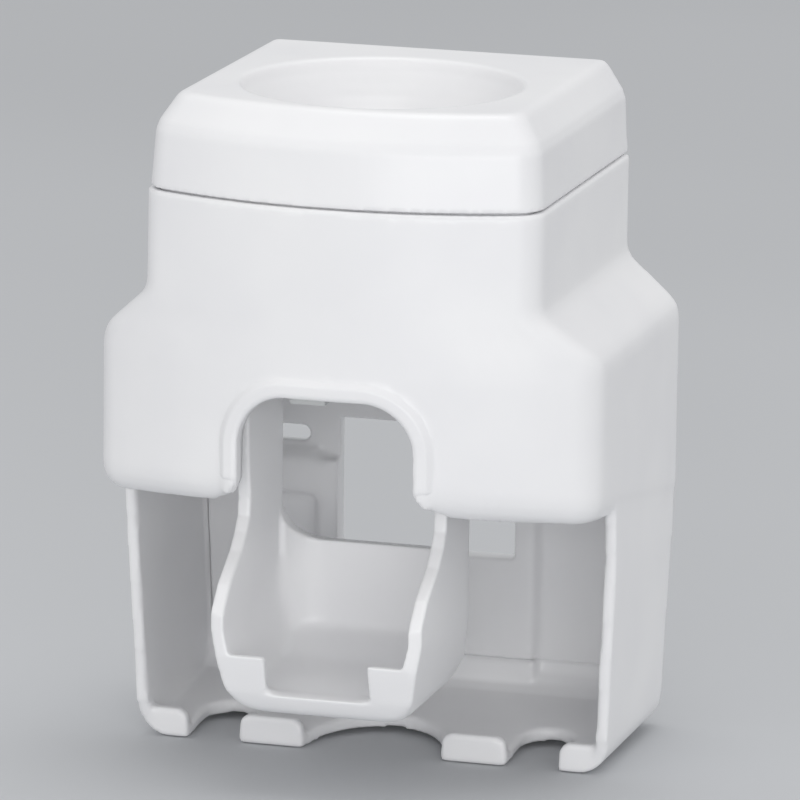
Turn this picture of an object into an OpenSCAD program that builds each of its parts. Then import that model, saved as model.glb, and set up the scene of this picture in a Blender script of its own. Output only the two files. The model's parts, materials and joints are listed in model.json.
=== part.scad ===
// Wall-hung toothpaste dispenser with toothbrush rests.
// Millimetres. X runs to the right, Y towards the wall, Z up.
// Modules are drawn with the wall plane at y = 0 and the lowest edge at z = 0,
// and the whole set is then moved so that the origin lies midway between the two hanging slots.

/* [Overall size] */
// Widest half of the case, across the skirt
case_half_w = 37.5; // [36.5:0.5:40]
// Depth from the wall to the middle of the case front
case_depth = 57.2; // [56.8:0.1:59]
// Height from the lowest edge to the top of the lid
case_h = 100; // [99.6:0.2:104]
// Moulded wall thickness of the case and the lid
wall = 1.7; // [1.4:0.1:1.9]
// Radius of the bowed front, seen from above
front_r = 66; // [60:1:80]

/* [Neck and shoulders] */
// Half width of the neck
neck_half_w = 29.4; // [29:0.1:30.5]
// How far the neck's front stands back from the skirt's
neck_set_back = 0.7; // [0.4:0.1:1.2]
// Height of the neck from its rim down to where it flares into the shoulders
neck_h = 13.1; // [12:0.1:14]
// Slope of the shoulders away from upright, in degrees
shoulder_slope = 48.8; // [45:0.2:52]
// Radius of the hollow curve between neck and shoulder
flare_r = 3.6; // [2.5:0.1:5]
// Radius of the round curve between shoulder and skirt
shoulder_r = 5; // [3:0.2:6]
// Round of the neck's front corners
neck_corner = 4.8; // [3.5:0.1:6]
// Round of the skirt's front corners
skirt_corner = 6.4; // [5:0.2:8]

/* [Skirt] */
// Height of the skirt's lower edge at the front
skirt_z = 42.6; // [41:0.2:44]
// Drop of the skirt's lower edge towards the wall, in degrees
skirt_tilt = 9; // [6:0.5:11]
// Radius of the rolled lower edge of the skirt
skirt_roll = 3.8; // [2.6:0.2:4.2]

/* [Brush arch] */
// Half width of the arch opening
arch_half_w = 13.1; // [12.7:0.1:13.4]
// Height of the arch opening over the skirt's lower edge
arch_h = 16.3; // [15.4:0.1:17.4]
// Corner radius of the arch opening
arch_corner = 7.6; // [6:0.2:9]
// Width of the raised rim round the arch
arch_rim = 2.5; // [2:0.1:3]
// How far the arch rim stands proud of the front
arch_proud = 0.7; // [0.3:0.1:1]
// Radius with which the arch's foot opens out into the skirt's edge
arch_foot_r = 4; // [3:0.2:4.4]

/* [Brush rests] */
// Depth of the side walls' front edge under the skirt
side_front = 34; // [33:0.5:36]
// Depth of the floor's front edge
floor_front = 30.6; // [30:0.2:32]
// Thickness of the floor and the side walls
floor_t = 1.8; // [1.6:0.1:2]
// Rise of the floor's underside at the wall
floor_rise = 2.2; // [1.6:0.1:2.6]
// Height of the raised lips at the floor's front edge
lip_h = 4.4; // [4:0.1:5.4]
// Thickness of the raised lips
lip_t = 1.6; // [1.4:0.1:2]
// How far the case is drawn in on each side at its lowest edge
base_in = 1.8; // [1.2:0.1:2.2]
// Round of the lower outer corners
base_corner = 5; // [3:0.2:6]
// Half width of the wide middle notch
mid_notch_half_w = 10.5; // [9:0.1:12]
// Distance of each side notch from the middle
side_notch_x = 24.4; // [24:0.1:25.5]
// Width of each side notch
side_notch_w = 7.8; // [7:0.1:8.6]
// Reach of every notch into the floor from its front edge
notch_d = 12.5; // [10:0.5:14]

/* [Lid] */
// Height of the lid over the neck rim
lid_h = 13.8; // [13.4:0.1:14.2]
// Height of the sloping band round the lid's top
lid_band_h = 4.8; // [4:0.1:5.6]
// How far the sloping band runs in on each side
lid_band_in = 3.1; // [2.6:0.1:3.6]
// How far the sloping band runs back at the front
lid_band_back = 3.2; // [2.6:0.1:3.8]
// How far the lid's straight sides lean in below the band
lid_lean = 0.5; // [0.2:0.1:0.8]
// Gap between the lid and the neck rim
lid_gap = 0.3; // [0.2:0.05:0.4]
// Length of the lid's spigot inside the neck
lid_spigot_h = 2.6; // [2:0.2:3]
// Radius of the round dish in the lid
dish_r = 20.4; // [19:0.2:21]
// Depth of the dish's upright rim
dish_rim_h = 1.8; // [1.2:0.2:2.6]
// Depth of the whole dish
dish_d = 10.8; // [9:0.2:11]
// Radius of the hole that the tube's neck goes through
lid_hole_r = 8.4; // [7.8:0.1:9]

/* [Pump] */
// Distance of the tube and pump axis behind the pivot shaft
pump_set_back = 11.6; // [11.4:0.1:12]
// Bore radius of the silicone collar that grips the tube's neck
collar_bore_r = 6.3; // [6:0.1:6.5]
// Length of that bore
collar_bore_h = 8; // [7.4:0.2:8.4]
// Thickness of the collar's wall and flange
collar_t = 1.6; // [1.4:0.1:1.8]
// Outer radius of the silicone squeeze tube
squeeze_r = 6.4; // [6.2:0.1:6.5]
// Wall of the silicone squeeze tube
squeeze_wall = 1.5; // [1.2:0.1:2]
// Outer radius of the pump body
pump_r = 9.6; // [9.5:0.1:10]
// Length of the pump body below the deck
pump_h = 22; // [21.6:0.1:22.4]
// Length of the nozzle below its cap
nozzle_h = 1.4; // [1:0.1:2]
// Bore radius of the nozzle
nozzle_bore_r = 1.9; // [1.5:0.1:2.2]
// Drop of the chassis deck's top face below the neck rim
deck_drop = 5.2; // [5:0.1:5.4]
// Thickness of the chassis deck
deck_t = 2; // [1.8:0.1:2.2]

/* [Lever] */
// Distance of the pivot shaft behind the case front
pivot_set_back = 16.2; // [15.8:0.1:16.6]
// Drop of the pivot shaft below the deck's top face
pivot_drop = 7; // [6.8:0.1:7.4]
// Radius of the pivot shaft
shaft_r = 2; // [1.6:0.1:2.1]
// Half width of the lever over its arms
lever_half_w = 15.7; // [15.4:0.1:15.9]
// Thickness of the lever's arms and scoop walls
lever_t = 2; // [1.8:0.1:2.1]
// Height of the scoop's underside
scoop_z = 11.8; // [11.4:0.2:13]
// How far the scoop's front stands out past the case front
scoop_proud = 3.4; // [2.6:0.1:3.8]
// Length of the scoop from front to back
scoop_l = 32.6; // [31.6:0.2:33.4]
// Height of the scoop's back wall in the middle
scoop_back_z = 31.7; // [30.5:0.1:33]
// Height of the scoop's front lip
scoop_lip_z = 21.2; // [20:0.2:22]
// Half width of the notch in the front lip
scoop_notch_half_w = 7.7; // [6.5:0.1:8.5]
// Height of the notch's lower edge
scoop_notch_z = 15.4; // [14.4:0.2:16.4]
// Drop of the squeeze bar below the pivot shaft
bar_drop = 10; // [9.2:0.1:10.4]
// Radius of the squeeze bar
bar_r = 2.2; // [2:0.1:2.4]

/* [Back plate] */
// Thickness of the back plate
plate_t = 2.2; // [2:0.1:2.4]
// Gap between the back plate and the case round it
plate_gap = 0.1; // [0.05:0.05:0.2]
// Half width of the see-through window
window_half_w = 13.8; // [12.6:0.2:14.2]
// Height of the window's lower edge
window_low_z = 24.3; // [23.5:0.2:26]
// Height of the window's upper edge
window_top_z = 43.6; // [42.6:0.2:45]
// Distance of each hanging slot from the middle
slot_x = 22.9; // [22.5:0.1:23.3]
// Length of each hanging slot
slot_l = 8.6; // [7.4:0.2:8.8]
// Width of each hanging slot
slot_w = 2.4; // [2.2:0.1:2.8]
// Height of the hanging slots
slot_z = 40.8; // [40.4:0.1:41.4]
// Half width of the raised middle panel
panel_half_w = 17.2; // [16.8:0.1:17.4]
// Height of the raised middle panel
panel_z = 37.4; // [37:0.1:37.8]
// How far the middle panel stands proud
panel_proud = 1.6; // [1:0.1:1.8]

/* [Hidden] */
$fn = 64;
abs_white = "#f4f4f2";
inner_grey = "#d9dcdc";
silicone = "#e9eae6";
steel = "#b9bcc0";

// Overrun of a cut past the face it opens
over = 1;
// Clearance between pieces that only come near each other
near = 0.3;
// Clearance of a shank or a shaft in the hole that holds it
snug = 0.02;
// Clearance of a piece that turns or slides in another
running = 0.05;
screw_r = 1;
screw_head_r = 1.9;
screw_head_h = 1.2;

// Heights: the lid, the neck and the works hang from the top, the rests stand on the lowest edge
rim_z = case_h - lid_h;
flare_z = rim_z - neck_h;
arch_z = skirt_z + arch_h;
deck_z = rim_z - deck_drop;
deck_under = deck_z - deck_t;
pivot_z = deck_z - pivot_drop;
bar_z = pivot_z - bar_drop;

// Depths from the wall: the works and the lever keep their distance from the case front
neck_depth = case_depth - neck_set_back;
pivot_y = case_depth - pivot_set_back;
tube_y = pivot_y - pump_set_back;
scoop_front = case_depth + scoop_proud;
scoop_back = scoop_front - scoop_l;
base_half_w = case_half_w - base_in;

// Heights where the neck, the shoulder curves and the skirt meet
slope_run = case_half_w - neck_half_w - (flare_r + shoulder_r) * (1 - cos(shoulder_slope));
slope_top_z = flare_z - flare_r * sin(shoulder_slope);
slope_low_z = slope_top_z - slope_run / tan(shoulder_slope);
shoulder_mid_z = slope_low_z - shoulder_r * sin(shoulder_slope);
roll_top_z = skirt_z + skirt_roll;
curve_steps = 4;

// The case outline as [height, half width] pairs from the rim down to the skirt
rim_edge = 0.3;
case_outline = concat(
    [[rim_z, neck_half_w - rim_edge], [rim_z - rim_edge, neck_half_w]],
    [for (i = [0 : curve_steps]) let (a = shoulder_slope * i / curve_steps)
        [flare_z - flare_r * sin(a), neck_half_w + flare_r * (1 - cos(a))]],
    [for (i = [curve_steps : -1 : 0]) let (a = shoulder_slope * i / curve_steps)
        [shoulder_mid_z + shoulder_r * sin(a), case_half_w - shoulder_r * (1 - cos(a))]]
);

// Depth of the front at a height: it leans out a little from the rim to the shoulders
function front_depth(z) = case_depth - (case_depth - neck_depth) * max(0, z - shoulder_mid_z)
    / (rim_z - shoulder_mid_z);
// Front corner radius for a half width: it grows from the neck to the skirt
function corner_at(half_w) = neck_corner
    + (skirt_corner - neck_corner) * max(0, half_w - neck_half_w) / (case_half_w - neck_half_w);

// Points on an arc, from one angle to another
function arc(x, y, r, from_a, to_a, steps) =
    [for (i = [0 : steps]) let (a = from_a + (to_a - from_a) * i / steps) [x + r * cos(a), y + r * sin(a)]];

// Outline of the case seen from above: straight back and sides, a bowed front and round front corners
corner_steps = 8;
bow_steps = 24;
function plan_points(half_w, depth, corner, back) =
    let (bow_y = front_r - depth,
        corner_x = half_w - corner,
        corner_y = bow_y - sqrt(pow(front_r - corner, 2) - pow(corner_x, 2)),
        turn = 180 + atan2(bow_y - corner_y, corner_x))
    concat(
        [[-half_w, -back]],
        arc(-corner_x, corner_y, corner, 180, turn, corner_steps),
        [for (i = [1 : bow_steps - 1]) let (a = turn + (540 - 2 * turn) * i / bow_steps)
            [front_r * cos(a), bow_y + front_r * sin(a)]],
        arc(corner_x, corner_y, corner, 540 - turn, 360, corner_steps),
        [[half_w, -back]]
    );

// A ring of that outline at a height, or on a plane that drops towards the wall
function ring(z, half_w, depth, corner, back = 0, tilt = 0) =
    [for (p = plan_points(half_w, depth, corner, back)) [p[0], p[1], z - tan(tilt) * (p[1] + case_depth)]];

// A solid through rings of the same number of points, listed from the lowest up
module loft(rings) {
    n = len(rings[0]);
    top = (len(rings) - 1) * n;
    polyhedron(
        points = [for (r = rings) each r],
        faces = concat(
            [[for (j = [0 : n - 1]) j]],
            [for (i = [0 : len(rings) - 2], j = [0 : n - 1]) let (k = (j + 1) % n)
                [i * n + j, (i + 1) * n + j, (i + 1) * n + k]],
            [for (i = [0 : len(rings) - 2], j = [0 : n - 1]) let (k = (j + 1) % n)
                [i * n + j, (i + 1) * n + k, i * n + k]],
            [[for (j = [n - 1 : -1 : 0]) top + j]]
        )
    );
}

// Rings of the rolled lower edge, drawn in along a quarter circle, from the lowest up
function rolled_rings(inset, back) = let (roll_r = skirt_roll - inset)
    [for (i = [curve_steps : -1 : 0]) let (a = 90 * i / curve_steps, draw_in = inset + roll_r * (1 - cos(a)))
        ring(roll_top_z - roll_r * sin(a), case_half_w - draw_in, case_depth - draw_in,
            skirt_corner - draw_in, back, skirt_tilt)];

// Rings of the skirt, the shoulders and the neck, from the skirt up to the rim
// The outside has a bevelled edge at the rim, and the inside runs straight past it
function body_rings(inset, back) = let (top = inset > 0 ? 1 : 0)
    [for (i = [len(case_outline) - 1 : -1 : top]) let (z = case_outline[i][0], half_w = case_outline[i][1])
        ring(z, half_w - inset, front_depth(z) - inset, corner_at(half_w) - inset, back)];

// Half width of the side walls at a height: they lean in towards the floor
lean_mid_z = 16;
lean_high_z = 30;
lean_mid_in = 1.1;
lean_high_in = 0.4;
lean_top_in = 0.1;
function side_half_w(z) = lookup(z, [
    [0, base_half_w], [lean_mid_z, case_half_w - lean_mid_in],
    [lean_high_z, case_half_w - lean_high_in], [roll_top_z, case_half_w - lean_top_in]
]);

// Front view of the brush rests' side walls, set in by a distance
function rest_half(inset) = concat(
    arc(side_half_w(base_corner) - base_corner, base_corner, base_corner - inset, -90, 0, corner_steps),
    [for (z = [lean_mid_z, lean_high_z, roll_top_z, roll_top_z + 2 * over]) [side_half_w(z) - inset, z]]
);
module rest_front_view(inset) {
    half = rest_half(inset);
    polygon(concat(half, [for (i = [len(half) - 1 : -1 : 0]) [-half[i][0], half[i][1]]]));
}

// A front view drawn out along the depth between two distances from the wall
module along_depth(from_y, to_y) {
    translate([0, from_y, 0]) rotate([90, 0, 0]) linear_extrude(from_y - to_y) children();
}

// A side view drawn out across the width
module across(width) {
    rotate([90, 0, 90]) linear_extrude(width, center = true) children();
}

// The outside of the brush rests: side walls and floor
side_ease = 3;
module rest_outside() {
    intersection() {
        along_depth(0, -side_front - over) rest_front_view(0);
        across(2 * case_half_w + over) polygon([
            [0, floor_rise], [-floor_front, 0], [-floor_front - 0.2, floor_t],
            [-floor_front - side_ease / 2, 2 * side_ease], [-side_front + 0.4, skirt_z - 3 * side_ease],
            [-side_front - 0.8, skirt_z], [-side_front - 0.8, roll_top_z + over], [0, roll_top_z + over]
        ]);
    }
}

// The space between the side walls, over the floor, with a cove where floor and back meet
cove_r = 5;
module rest_inside() {
    floor_high = floor_rise + floor_t;
    intersection() {
        along_depth(over, -case_depth) rest_front_view(floor_t);
        across(2 * case_half_w) polygon(concat(
            [[-plate_t, roll_top_z + over], [-plate_t, floor_high + cove_r]],
            [for (i = [1 : curve_steps]) let (a = 90 * i / curve_steps)
                [-plate_t - cove_r * (1 - cos(a)), floor_high + cove_r * (1 - sin(a))]],
            [[-floor_front, floor_t], [-side_front - 2 * over, floor_t],
                [-side_front - 2 * over, roll_top_z + over]]
        ));
    }
}

// One lip with rounded upper corners across a stretch of the floor's front edge
lip_proud = 0.35;
lip_end_gap = 0.15;
module lip(from_x, to_x) {
    along_depth(-floor_front + lip_t, -floor_front - lip_proud) intersection() {
        hull() {
            translate([from_x, lip_proud]) square([to_x - from_x, floor_t]);
            for (x = [from_x + lip_t, to_x - lip_t]) translate([x, lip_h - lip_t])
                circle(r = lip_t, $fn = 32);
        }
        rest_front_view(lip_end_gap);
    }
}
side_notch_in = side_notch_x - side_notch_w / 2;
side_notch_out = side_notch_x + side_notch_w / 2;
lip_far = side_half_w(lip_h) - 0.6;
lip_stretches = [
    [-lip_far, -side_notch_out - lip_end_gap],
    [-side_notch_in + lip_end_gap, -mid_notch_half_w - lip_end_gap],
    [mid_notch_half_w + lip_end_gap, side_notch_in - lip_end_gap],
    [side_notch_out + lip_end_gap, lip_far]
];

// The foot of the back plate's raised panel, where it reaches the floor
module panel_foot() {
    translate([-panel_half_w, -plate_t - panel_proud, 2 * floor_rise / 3 + near])
        cube([2 * panel_half_w, plate_t + panel_proud - near, floor_rise / 3 + floor_t + cove_r - near]);
}

// The notches that the toothbrush handles hang in, seen from above
module notches() {
    reach = floor_front + 2 * over;
    side_y = notch_d - side_notch_w / 2 - floor_front;
    translate([0, 0, -over]) linear_extrude(lip_h + 2 * over) {
        polygon([for (i = [0 : 2 * bow_steps]) let (a = 180 * i / (2 * bow_steps))
            [(mid_notch_half_w + 0.1) * cos(a), -reach + (notch_d + reach - floor_front) * sin(a)]]);
        for (side = [-1, 1]) translate([side * side_notch_x, 0]) hull() {
            translate([0, side_y]) circle(d = side_notch_w, $fn = 40);
            translate([-side_notch_w / 2, -reach]) square([side_notch_w, reach + side_y]);
        }
    }
}

// The arch seen from the front, grown by a margin; its foot opens out with a curve
arch_steps = 12;
function arch_half(margin) = concat(
    [[arch_half_w + arch_foot_r, skirt_z - skirt_roll]],
    margin > 0 ? [] : [for (i = [0 : corner_steps]) let (a = 270 - 90 * i / corner_steps)
        [arch_half_w + arch_foot_r + arch_foot_r * cos(a), skirt_z + arch_foot_r + arch_foot_r * sin(a)]],
    arc(arch_half_w - arch_corner, arch_z - arch_corner, arch_corner + margin, 0, 90, arch_steps)
);
module arch_view(margin) {
    half = margin > 0 ? [for (i = [1 : len(arch_half(margin)) - 1]) arch_half(margin)[i]] : arch_half(0);
    low = margin > 0 ? [[arch_half_w + margin, skirt_z + over]] : [];
    right = concat(low, half);
    polygon(concat(right, [for (i = [len(right) - 1 : -1 : 0]) [-right[i][0], right[i][1]]]));
}

// The raised rim round the arch follows the bow of the front in rounded steps
// Each step is [how much narrower than the rim, share of its height, depth of its root]
rim_steps = [[0, 0.45, 3.2], [0.4, 0.85, 3], [0.9, 1, 2.8]];
front_cut = 12;
module arch_rim_band() {
    band_back = case_depth - 2 * front_cut;
    for (step = rim_steps) intersection() {
        along_depth(-case_depth + front_cut, -case_depth - 2 * over) arch_view(arch_rim - step[0]);
        translate([0, 0, skirt_z]) linear_extrude(case_h - skirt_z) difference() {
            polygon(plan_points(case_half_w - over, case_depth + arch_proud * step[1], skirt_corner,
                band_back));
            polygon(plan_points(case_half_w - 2 * over, case_depth - step[2], skirt_corner,
                band_back - front_cut));
        }
    }
}

// Blocks inside the case that take the back plate's and the deck's screws
post_w = 5;
post_h = 11;
rear_post_x = neck_half_w - 5.8;
rear_post_y = 10.4;
rear_screw_z = deck_under - 7;
front_post_x = neck_half_w - 6.8;
lug_r = 3.5;
front_post_y = pivot_y + lug_r + near + post_w / 2;
low_post_x = case_half_w - 6.5;
low_post_z = roll_top_z + 6.6;
post_low_z = deck_under - post_h;
pilot_r = screw_r + running;
back_screw_l = 7;
deck_screw_l = 7;

// A post with a sloped foot, from one distance from the middle out into the side wall
module post(side, from_x, from_y, to_y, low_z, high_z) {
    out_x = case_half_w;
    hull() {
        translate([side > 0 ? from_x : -out_x, -to_y, low_z + post_w])
            cube([out_x - from_x, to_y - from_y, high_z - low_z - post_w]);
        translate([side > 0 ? out_x - over : -out_x, -to_y, low_z]) cube([over, to_y - from_y, over]);
    }
}

module posts() {
    intersection() {
        loft(concat(rolled_rings(wall / 2, plate_t), body_rings(wall / 2, plate_t)));
        for (side = [-1, 1]) {
            post(side, rear_post_x - post_w / 2, plate_t + near, rear_post_y + post_w / 2,
                post_low_z - post_w, deck_under);
            post(side, front_post_x - post_w / 2, front_post_y - post_w / 2, front_post_y + post_w / 2,
                post_low_z - post_w, deck_under);
            post(side, low_post_x - post_w / 2, plate_t + near, rear_post_y, low_post_z - post_w,
                low_post_z + post_w);
        }
    }
}

module post_holes() {
    for (side = [-1, 1]) {
        for (p = [[rear_post_x, rear_screw_z], [low_post_x, low_post_z]])
            translate([side * p[0], 0, p[1]]) rotate([90, 0, 0])
                cylinder(r = pilot_r, h = back_screw_l + over, $fn = 24);
        for (p = [[rear_post_x, rear_post_y], [front_post_x, front_post_y]])
            translate([side * p[0], -p[1], deck_under - deck_screw_l])
                cylinder(r = pilot_r, h = deck_screw_l + over, $fn = 24);
    }
}

// Outline of the back plate, seen from the front
plate_top_z = deck_z + 1;
plate_low_z = floor_rise + floor_t + cove_r + near;
plate_side = floor_t + 2 * near;
module plate_view(margin) {
    offset(delta = margin) polygon(concat(
        [for (p = plate_edge) [-p[0], p[1]]],
        [for (i = [len(plate_edge) - 1 : -1 : 0]) plate_edge[i]]
    ));
}
plate_edge = [
    [neck_half_w - plate_side, plate_top_z], [neck_half_w - plate_side, flare_z - 1],
    [case_half_w - plate_side, shoulder_mid_z], [case_half_w - plate_side, roll_top_z],
    [side_half_w(lean_high_z) - plate_side, lean_high_z], [side_half_w(plate_low_z) - plate_side, plate_low_z]
];

// Depth of the inside of the case's back, a little deeper than the plate
plate_ease = 0.1;
inner_back = plate_t + plate_ease;
module housing() {
    color(abs_white) difference() {
        union() {
            difference() {
                union() {
                    loft(concat(rolled_rings(0, 0), body_rings(0, 0)));
                    rest_outside();
                }
                loft(concat(
                    [ring(skirt_z - 2 * skirt_roll, case_half_w - skirt_roll, case_depth - skirt_roll,
                        skirt_corner - skirt_roll, inner_back, skirt_tilt)],
                    rolled_rings(wall, inner_back), body_rings(wall, inner_back),
                    [ring(rim_z + over, neck_half_w - wall, neck_depth - wall, neck_corner - wall,
                        inner_back)]
                ));
                rest_inside();
            }
            posts();
            arch_rim_band();
            panel_foot();
            for (stretch = lip_stretches) lip(stretch[0], stretch[1]);
        }
        along_depth(-case_depth + front_cut, -case_depth - 3 * over) arch_view(0);
        notches();
        along_depth(over, -plate_t - over) plate_view(plate_gap);
        post_holes();
    }
}

// The lid: a sloping top over straight sides, with a round dish that leads down to the tube's hole
lid_low_z = rim_z + lid_gap;
lid_step = 0.3;
lid_low_back = 0.1;
lid_low_half_w = neck_half_w - lid_step;
lid_low_depth = neck_depth - lid_step - lid_low_back;
lid_band_z = case_h - lid_band_h;
lid_band_half_w = lid_low_half_w - lid_lean;
lid_band_depth = lid_low_depth - 2 * lid_lean;
lid_top_half_w = lid_band_half_w - lid_band_in;
lid_top_depth = lid_band_depth - lid_band_back;
lid_corner = neck_corner - 0.9;

lid_edge = 0.7;
module lid_solid(inset, back, low_z) {
    slope = (lid_band_half_w - lid_top_half_w) / lid_band_h;
    top_edge = inset > 0 ? 0.1 : lid_edge;
    loft([
        ring(low_z, lid_low_half_w - inset, lid_low_depth - inset, neck_corner - inset, back),
        ring(lid_band_z - lid_edge, lid_band_half_w + 0.05 - inset, lid_band_depth + 0.05 - inset,
            lid_corner + 0.8 - inset, back),
        ring(lid_band_z + lid_edge - 0.3 * inset, lid_band_half_w - slope * lid_edge - inset,
            lid_band_depth - slope * lid_edge - inset, lid_corner + 0.6 - inset, back),
        ring(case_h - inset - top_edge, lid_top_half_w + slope * top_edge - inset,
            lid_top_depth + slope * top_edge - inset, lid_corner + 0.2 - inset, back),
        ring(case_h - inset - 0.3 * top_edge, lid_top_half_w - 0.1 - inset, lid_top_depth - 0.1 - inset,
            lid_corner - inset, back),
        ring(case_h - inset, lid_top_half_w - top_edge - inset, lid_top_depth - top_edge - inset,
            lid_corner - 0.2 - inset, back)
    ]);
}

// Outline of the dish as [radius, height] points from its rim to the hole
dish_steps = 8;
dish_skirt = 1.2;
lid_core = 0.4;
dish_wall_in = 0.5;
dish_line = concat(
    [[dish_r, case_h + over], [dish_r, case_h], [dish_r - dish_wall_in, case_h - dish_rim_h]],
    [for (i = [1 : dish_steps]) let (a = 90 * i / dish_steps, run = dish_r - dish_wall_in - lid_hole_r)
        [dish_r - dish_wall_in - run * (0.35 * sin(a) + 0.65 * (1 - cos(a))),
            case_h - dish_rim_h - (dish_d - dish_rim_h) * sin(a)]]
);

module lid() {
    spigot_half_w = neck_half_w - wall - running;
    spigot_depth = neck_depth - wall - running;
    spigot_corner = neck_corner - wall;
    back = inner_back + running;
    under = [for (i = [len(dish_line) - 1 : -1 : 2]) [dish_line[i][0] + dish_skirt, dish_line[i][1] - wall]];
    color(abs_white) difference() {
        union() {
            difference() {
                lid_solid(0, 0, lid_low_z);
                lid_solid(wall, wall, lid_low_z - over);
            }
            translate([0, 0, rim_z - lid_spigot_h]) linear_extrude(lid_spigot_h + 3) difference() {
                polygon(plan_points(spigot_half_w, spigot_depth, spigot_corner, back));
                polygon(plan_points(spigot_half_w - wall, spigot_depth - wall,
                    max(spigot_corner - wall, near), back + wall));
            }
            translate([0, -tube_y, 0]) rotate_extrude() polygon(concat(
                [[0, case_h - dish_d - wall]], under,
                    [[dish_r + wall, case_h - lid_core], [0, case_h - lid_core]]
            ));
        }
        translate([0, -tube_y, 0]) rotate_extrude() polygon(concat(
            [[0, case_h + over]], dish_line,
                [[lid_hole_r, case_h - dish_d - 2 * wall], [0, case_h - dish_d - 2 * wall]]
        ));
    }
}

// The back plate with its window, hanging slots, raised middle panel and hook pockets
hook_pocket_half_w = slot_x + slot_l / 2 + 0.4;
hook_drop = 3.1;
hook_h = 5.9;
hook_high_z = slot_z - hook_drop;
hook_low_z = hook_high_z - hook_h;
hook_ramp = 1.9;
pocket_skin = 1.6;

module slot_view() {
    for (side = [-1, 1]) translate([side * slot_x, slot_z]) for (end = [-1, 1]) {
        translate([end * (slot_l - slot_w) / 2, 0]) circle(d = slot_w);
        translate([-(slot_l - slot_w) / 2, -slot_w / 2]) square([slot_l - slot_w, slot_w]);
    }
}

module screw_seat(length) {
    translate([0, 0, -over]) cylinder(r = screw_head_r + 0.15, h = over + screw_head_h + 0.1);
    cylinder(r = screw_r + 0.1, h = length);
}

module back_plate() {
    color(abs_white) difference() {
        union() {
            along_depth(0, -plate_t) plate_view(0);
            translate([-panel_half_w, -plate_t - panel_proud, plate_low_z])
                cube([2 * panel_half_w, panel_proud + 0.1, panel_z - plate_low_z]);
            for (side = [-1, 1]) translate([side * (panel_half_w + hook_pocket_half_w) / 2, 0, 0])
                across(hook_pocket_half_w - panel_half_w + 0.1) polygon([
                    [-plate_t + 0.1, hook_low_z], [-plate_t - panel_proud, hook_low_z],
                    [-plate_t - panel_proud, hook_high_z - 0.4],
                    [-plate_t + 0.1, hook_high_z - 0.4 + hook_ramp]
                ]);
        }
        translate([-window_half_w, -plate_t - 2 * panel_proud, window_low_z])
            cube([2 * window_half_w, 4 * plate_t, window_top_z - window_low_z]);
        along_depth(over, -plate_t - 2 * panel_proud) slot_view();
        for (side = [-1, 1]) translate([side * (panel_half_w + hook_pocket_half_w) / 2, 0, 0])
            translate([-(hook_pocket_half_w - panel_half_w) / 2, -plate_t - panel_proud + pocket_skin,
                hook_low_z + pocket_skin])
                cube([hook_pocket_half_w - panel_half_w - pocket_skin, plate_t + panel_proud,
                    hook_high_z - hook_low_z - 2 * pocket_skin]);
        for (side = [-1, 1], p = [[rear_post_x, rear_screw_z], [low_post_x, low_post_z]])
            translate([side * p[0], 0, p[1]]) rotate([90, 0, 0]) screw_seat(2 * plate_t);
    }
}

// A tapping screw: its head's outer face at the origin, its shank pointing up along Z
recess_w = 0.5;
recess_d = 0.7;
module screw(length) {
    difference() {
        union() {
            cylinder(r = screw_head_r, h = screw_head_h);
            cylinder(r = screw_r, h = screw_head_h + length);
        }
        for (turn = [0, 90]) rotate(turn) translate([-screw_r, -recess_w / 2, -over])
            cube([2 * screw_r, recess_w, over + recess_d]);
    }
}

module back_screws() {
    color(steel) for (side = [-1, 1], p = [[rear_post_x, rear_screw_z], [low_post_x, low_post_z]])
        translate([side * p[0], -0.05, p[1]]) rotate([90, 0, 0]) screw(back_screw_l - screw_head_h);
}

// The chassis: a deck across the neck with two lugs that carry the lever's shaft
lug_gap = 0.3;
lug_t = 2.4;
ring_screw_y = 13.2;
pump_screw_x = 13.4;
boss_r = 2.3;
boss_h = 2;
collar_r = collar_bore_r + collar_t;

module chassis() {
    deck_half_w = neck_half_w - wall - 0.7;
    deck_depth = front_depth(deck_z) - wall - 0.7;
    color(inner_grey) difference() {
        union() {
            translate([0, 0, deck_under]) linear_extrude(deck_t)
                polygon(plan_points(deck_half_w, deck_depth, neck_corner - wall, plate_t + 2 * near));
            for (side = [-1, 1]) {
                translate([side * (lever_half_w + lug_gap + lug_t / 2), -pivot_y, 0]) {
                    translate([0, 0, pivot_z]) rotate([0, 90, 0])
                        cylinder(r = lug_r, h = lug_t, center = true);
                    translate([-lug_t / 2, -lug_r, pivot_z])
                        cube([lug_t, 2 * lug_r, deck_z - pivot_z - deck_t / 2]);
                }
                translate([side * pump_screw_x, -tube_y, deck_z - 0.1])
                    cylinder(r = boss_r, h = boss_h + 0.1);
                translate([0, side * ring_screw_y - tube_y, deck_under - boss_h])
                    cylinder(r = boss_r, h = boss_h + 0.1);
            }
        }
        translate([0, -tube_y, deck_under - over]) cylinder(r = collar_r + running, h = deck_t + 2 * over);
        for (side = [-1, 1]) {
            for (p = [[rear_post_x, rear_post_y], [front_post_x, front_post_y]])
                translate([side * p[0], -p[1], deck_under - over])
                    cylinder(r = screw_r + 0.1, h = deck_t + 2 * over);
            translate([side * pump_screw_x, -tube_y, deck_under - over])
                cylinder(r = screw_r + snug, h = deck_t + boss_h + 2 * over);
            translate([0, side * ring_screw_y - tube_y, deck_under - boss_h - over])
                cylinder(r = screw_r + snug, h = deck_t + boss_h + 2 * over);
        }
        translate([0, -pivot_y, pivot_z]) rotate([0, 90, 0])
            cylinder(r = shaft_r + snug, h = 2 * case_half_w, center = true);
    }
}

module deck_screws() {
    color(steel) for (side = [-1, 1], p = [[rear_post_x, rear_post_y], [front_post_x, front_post_y]])
        translate([side * p[0], -p[1], deck_z + screw_head_h]) rotate([180, 0, 0]) screw(deck_screw_l);
}

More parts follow.
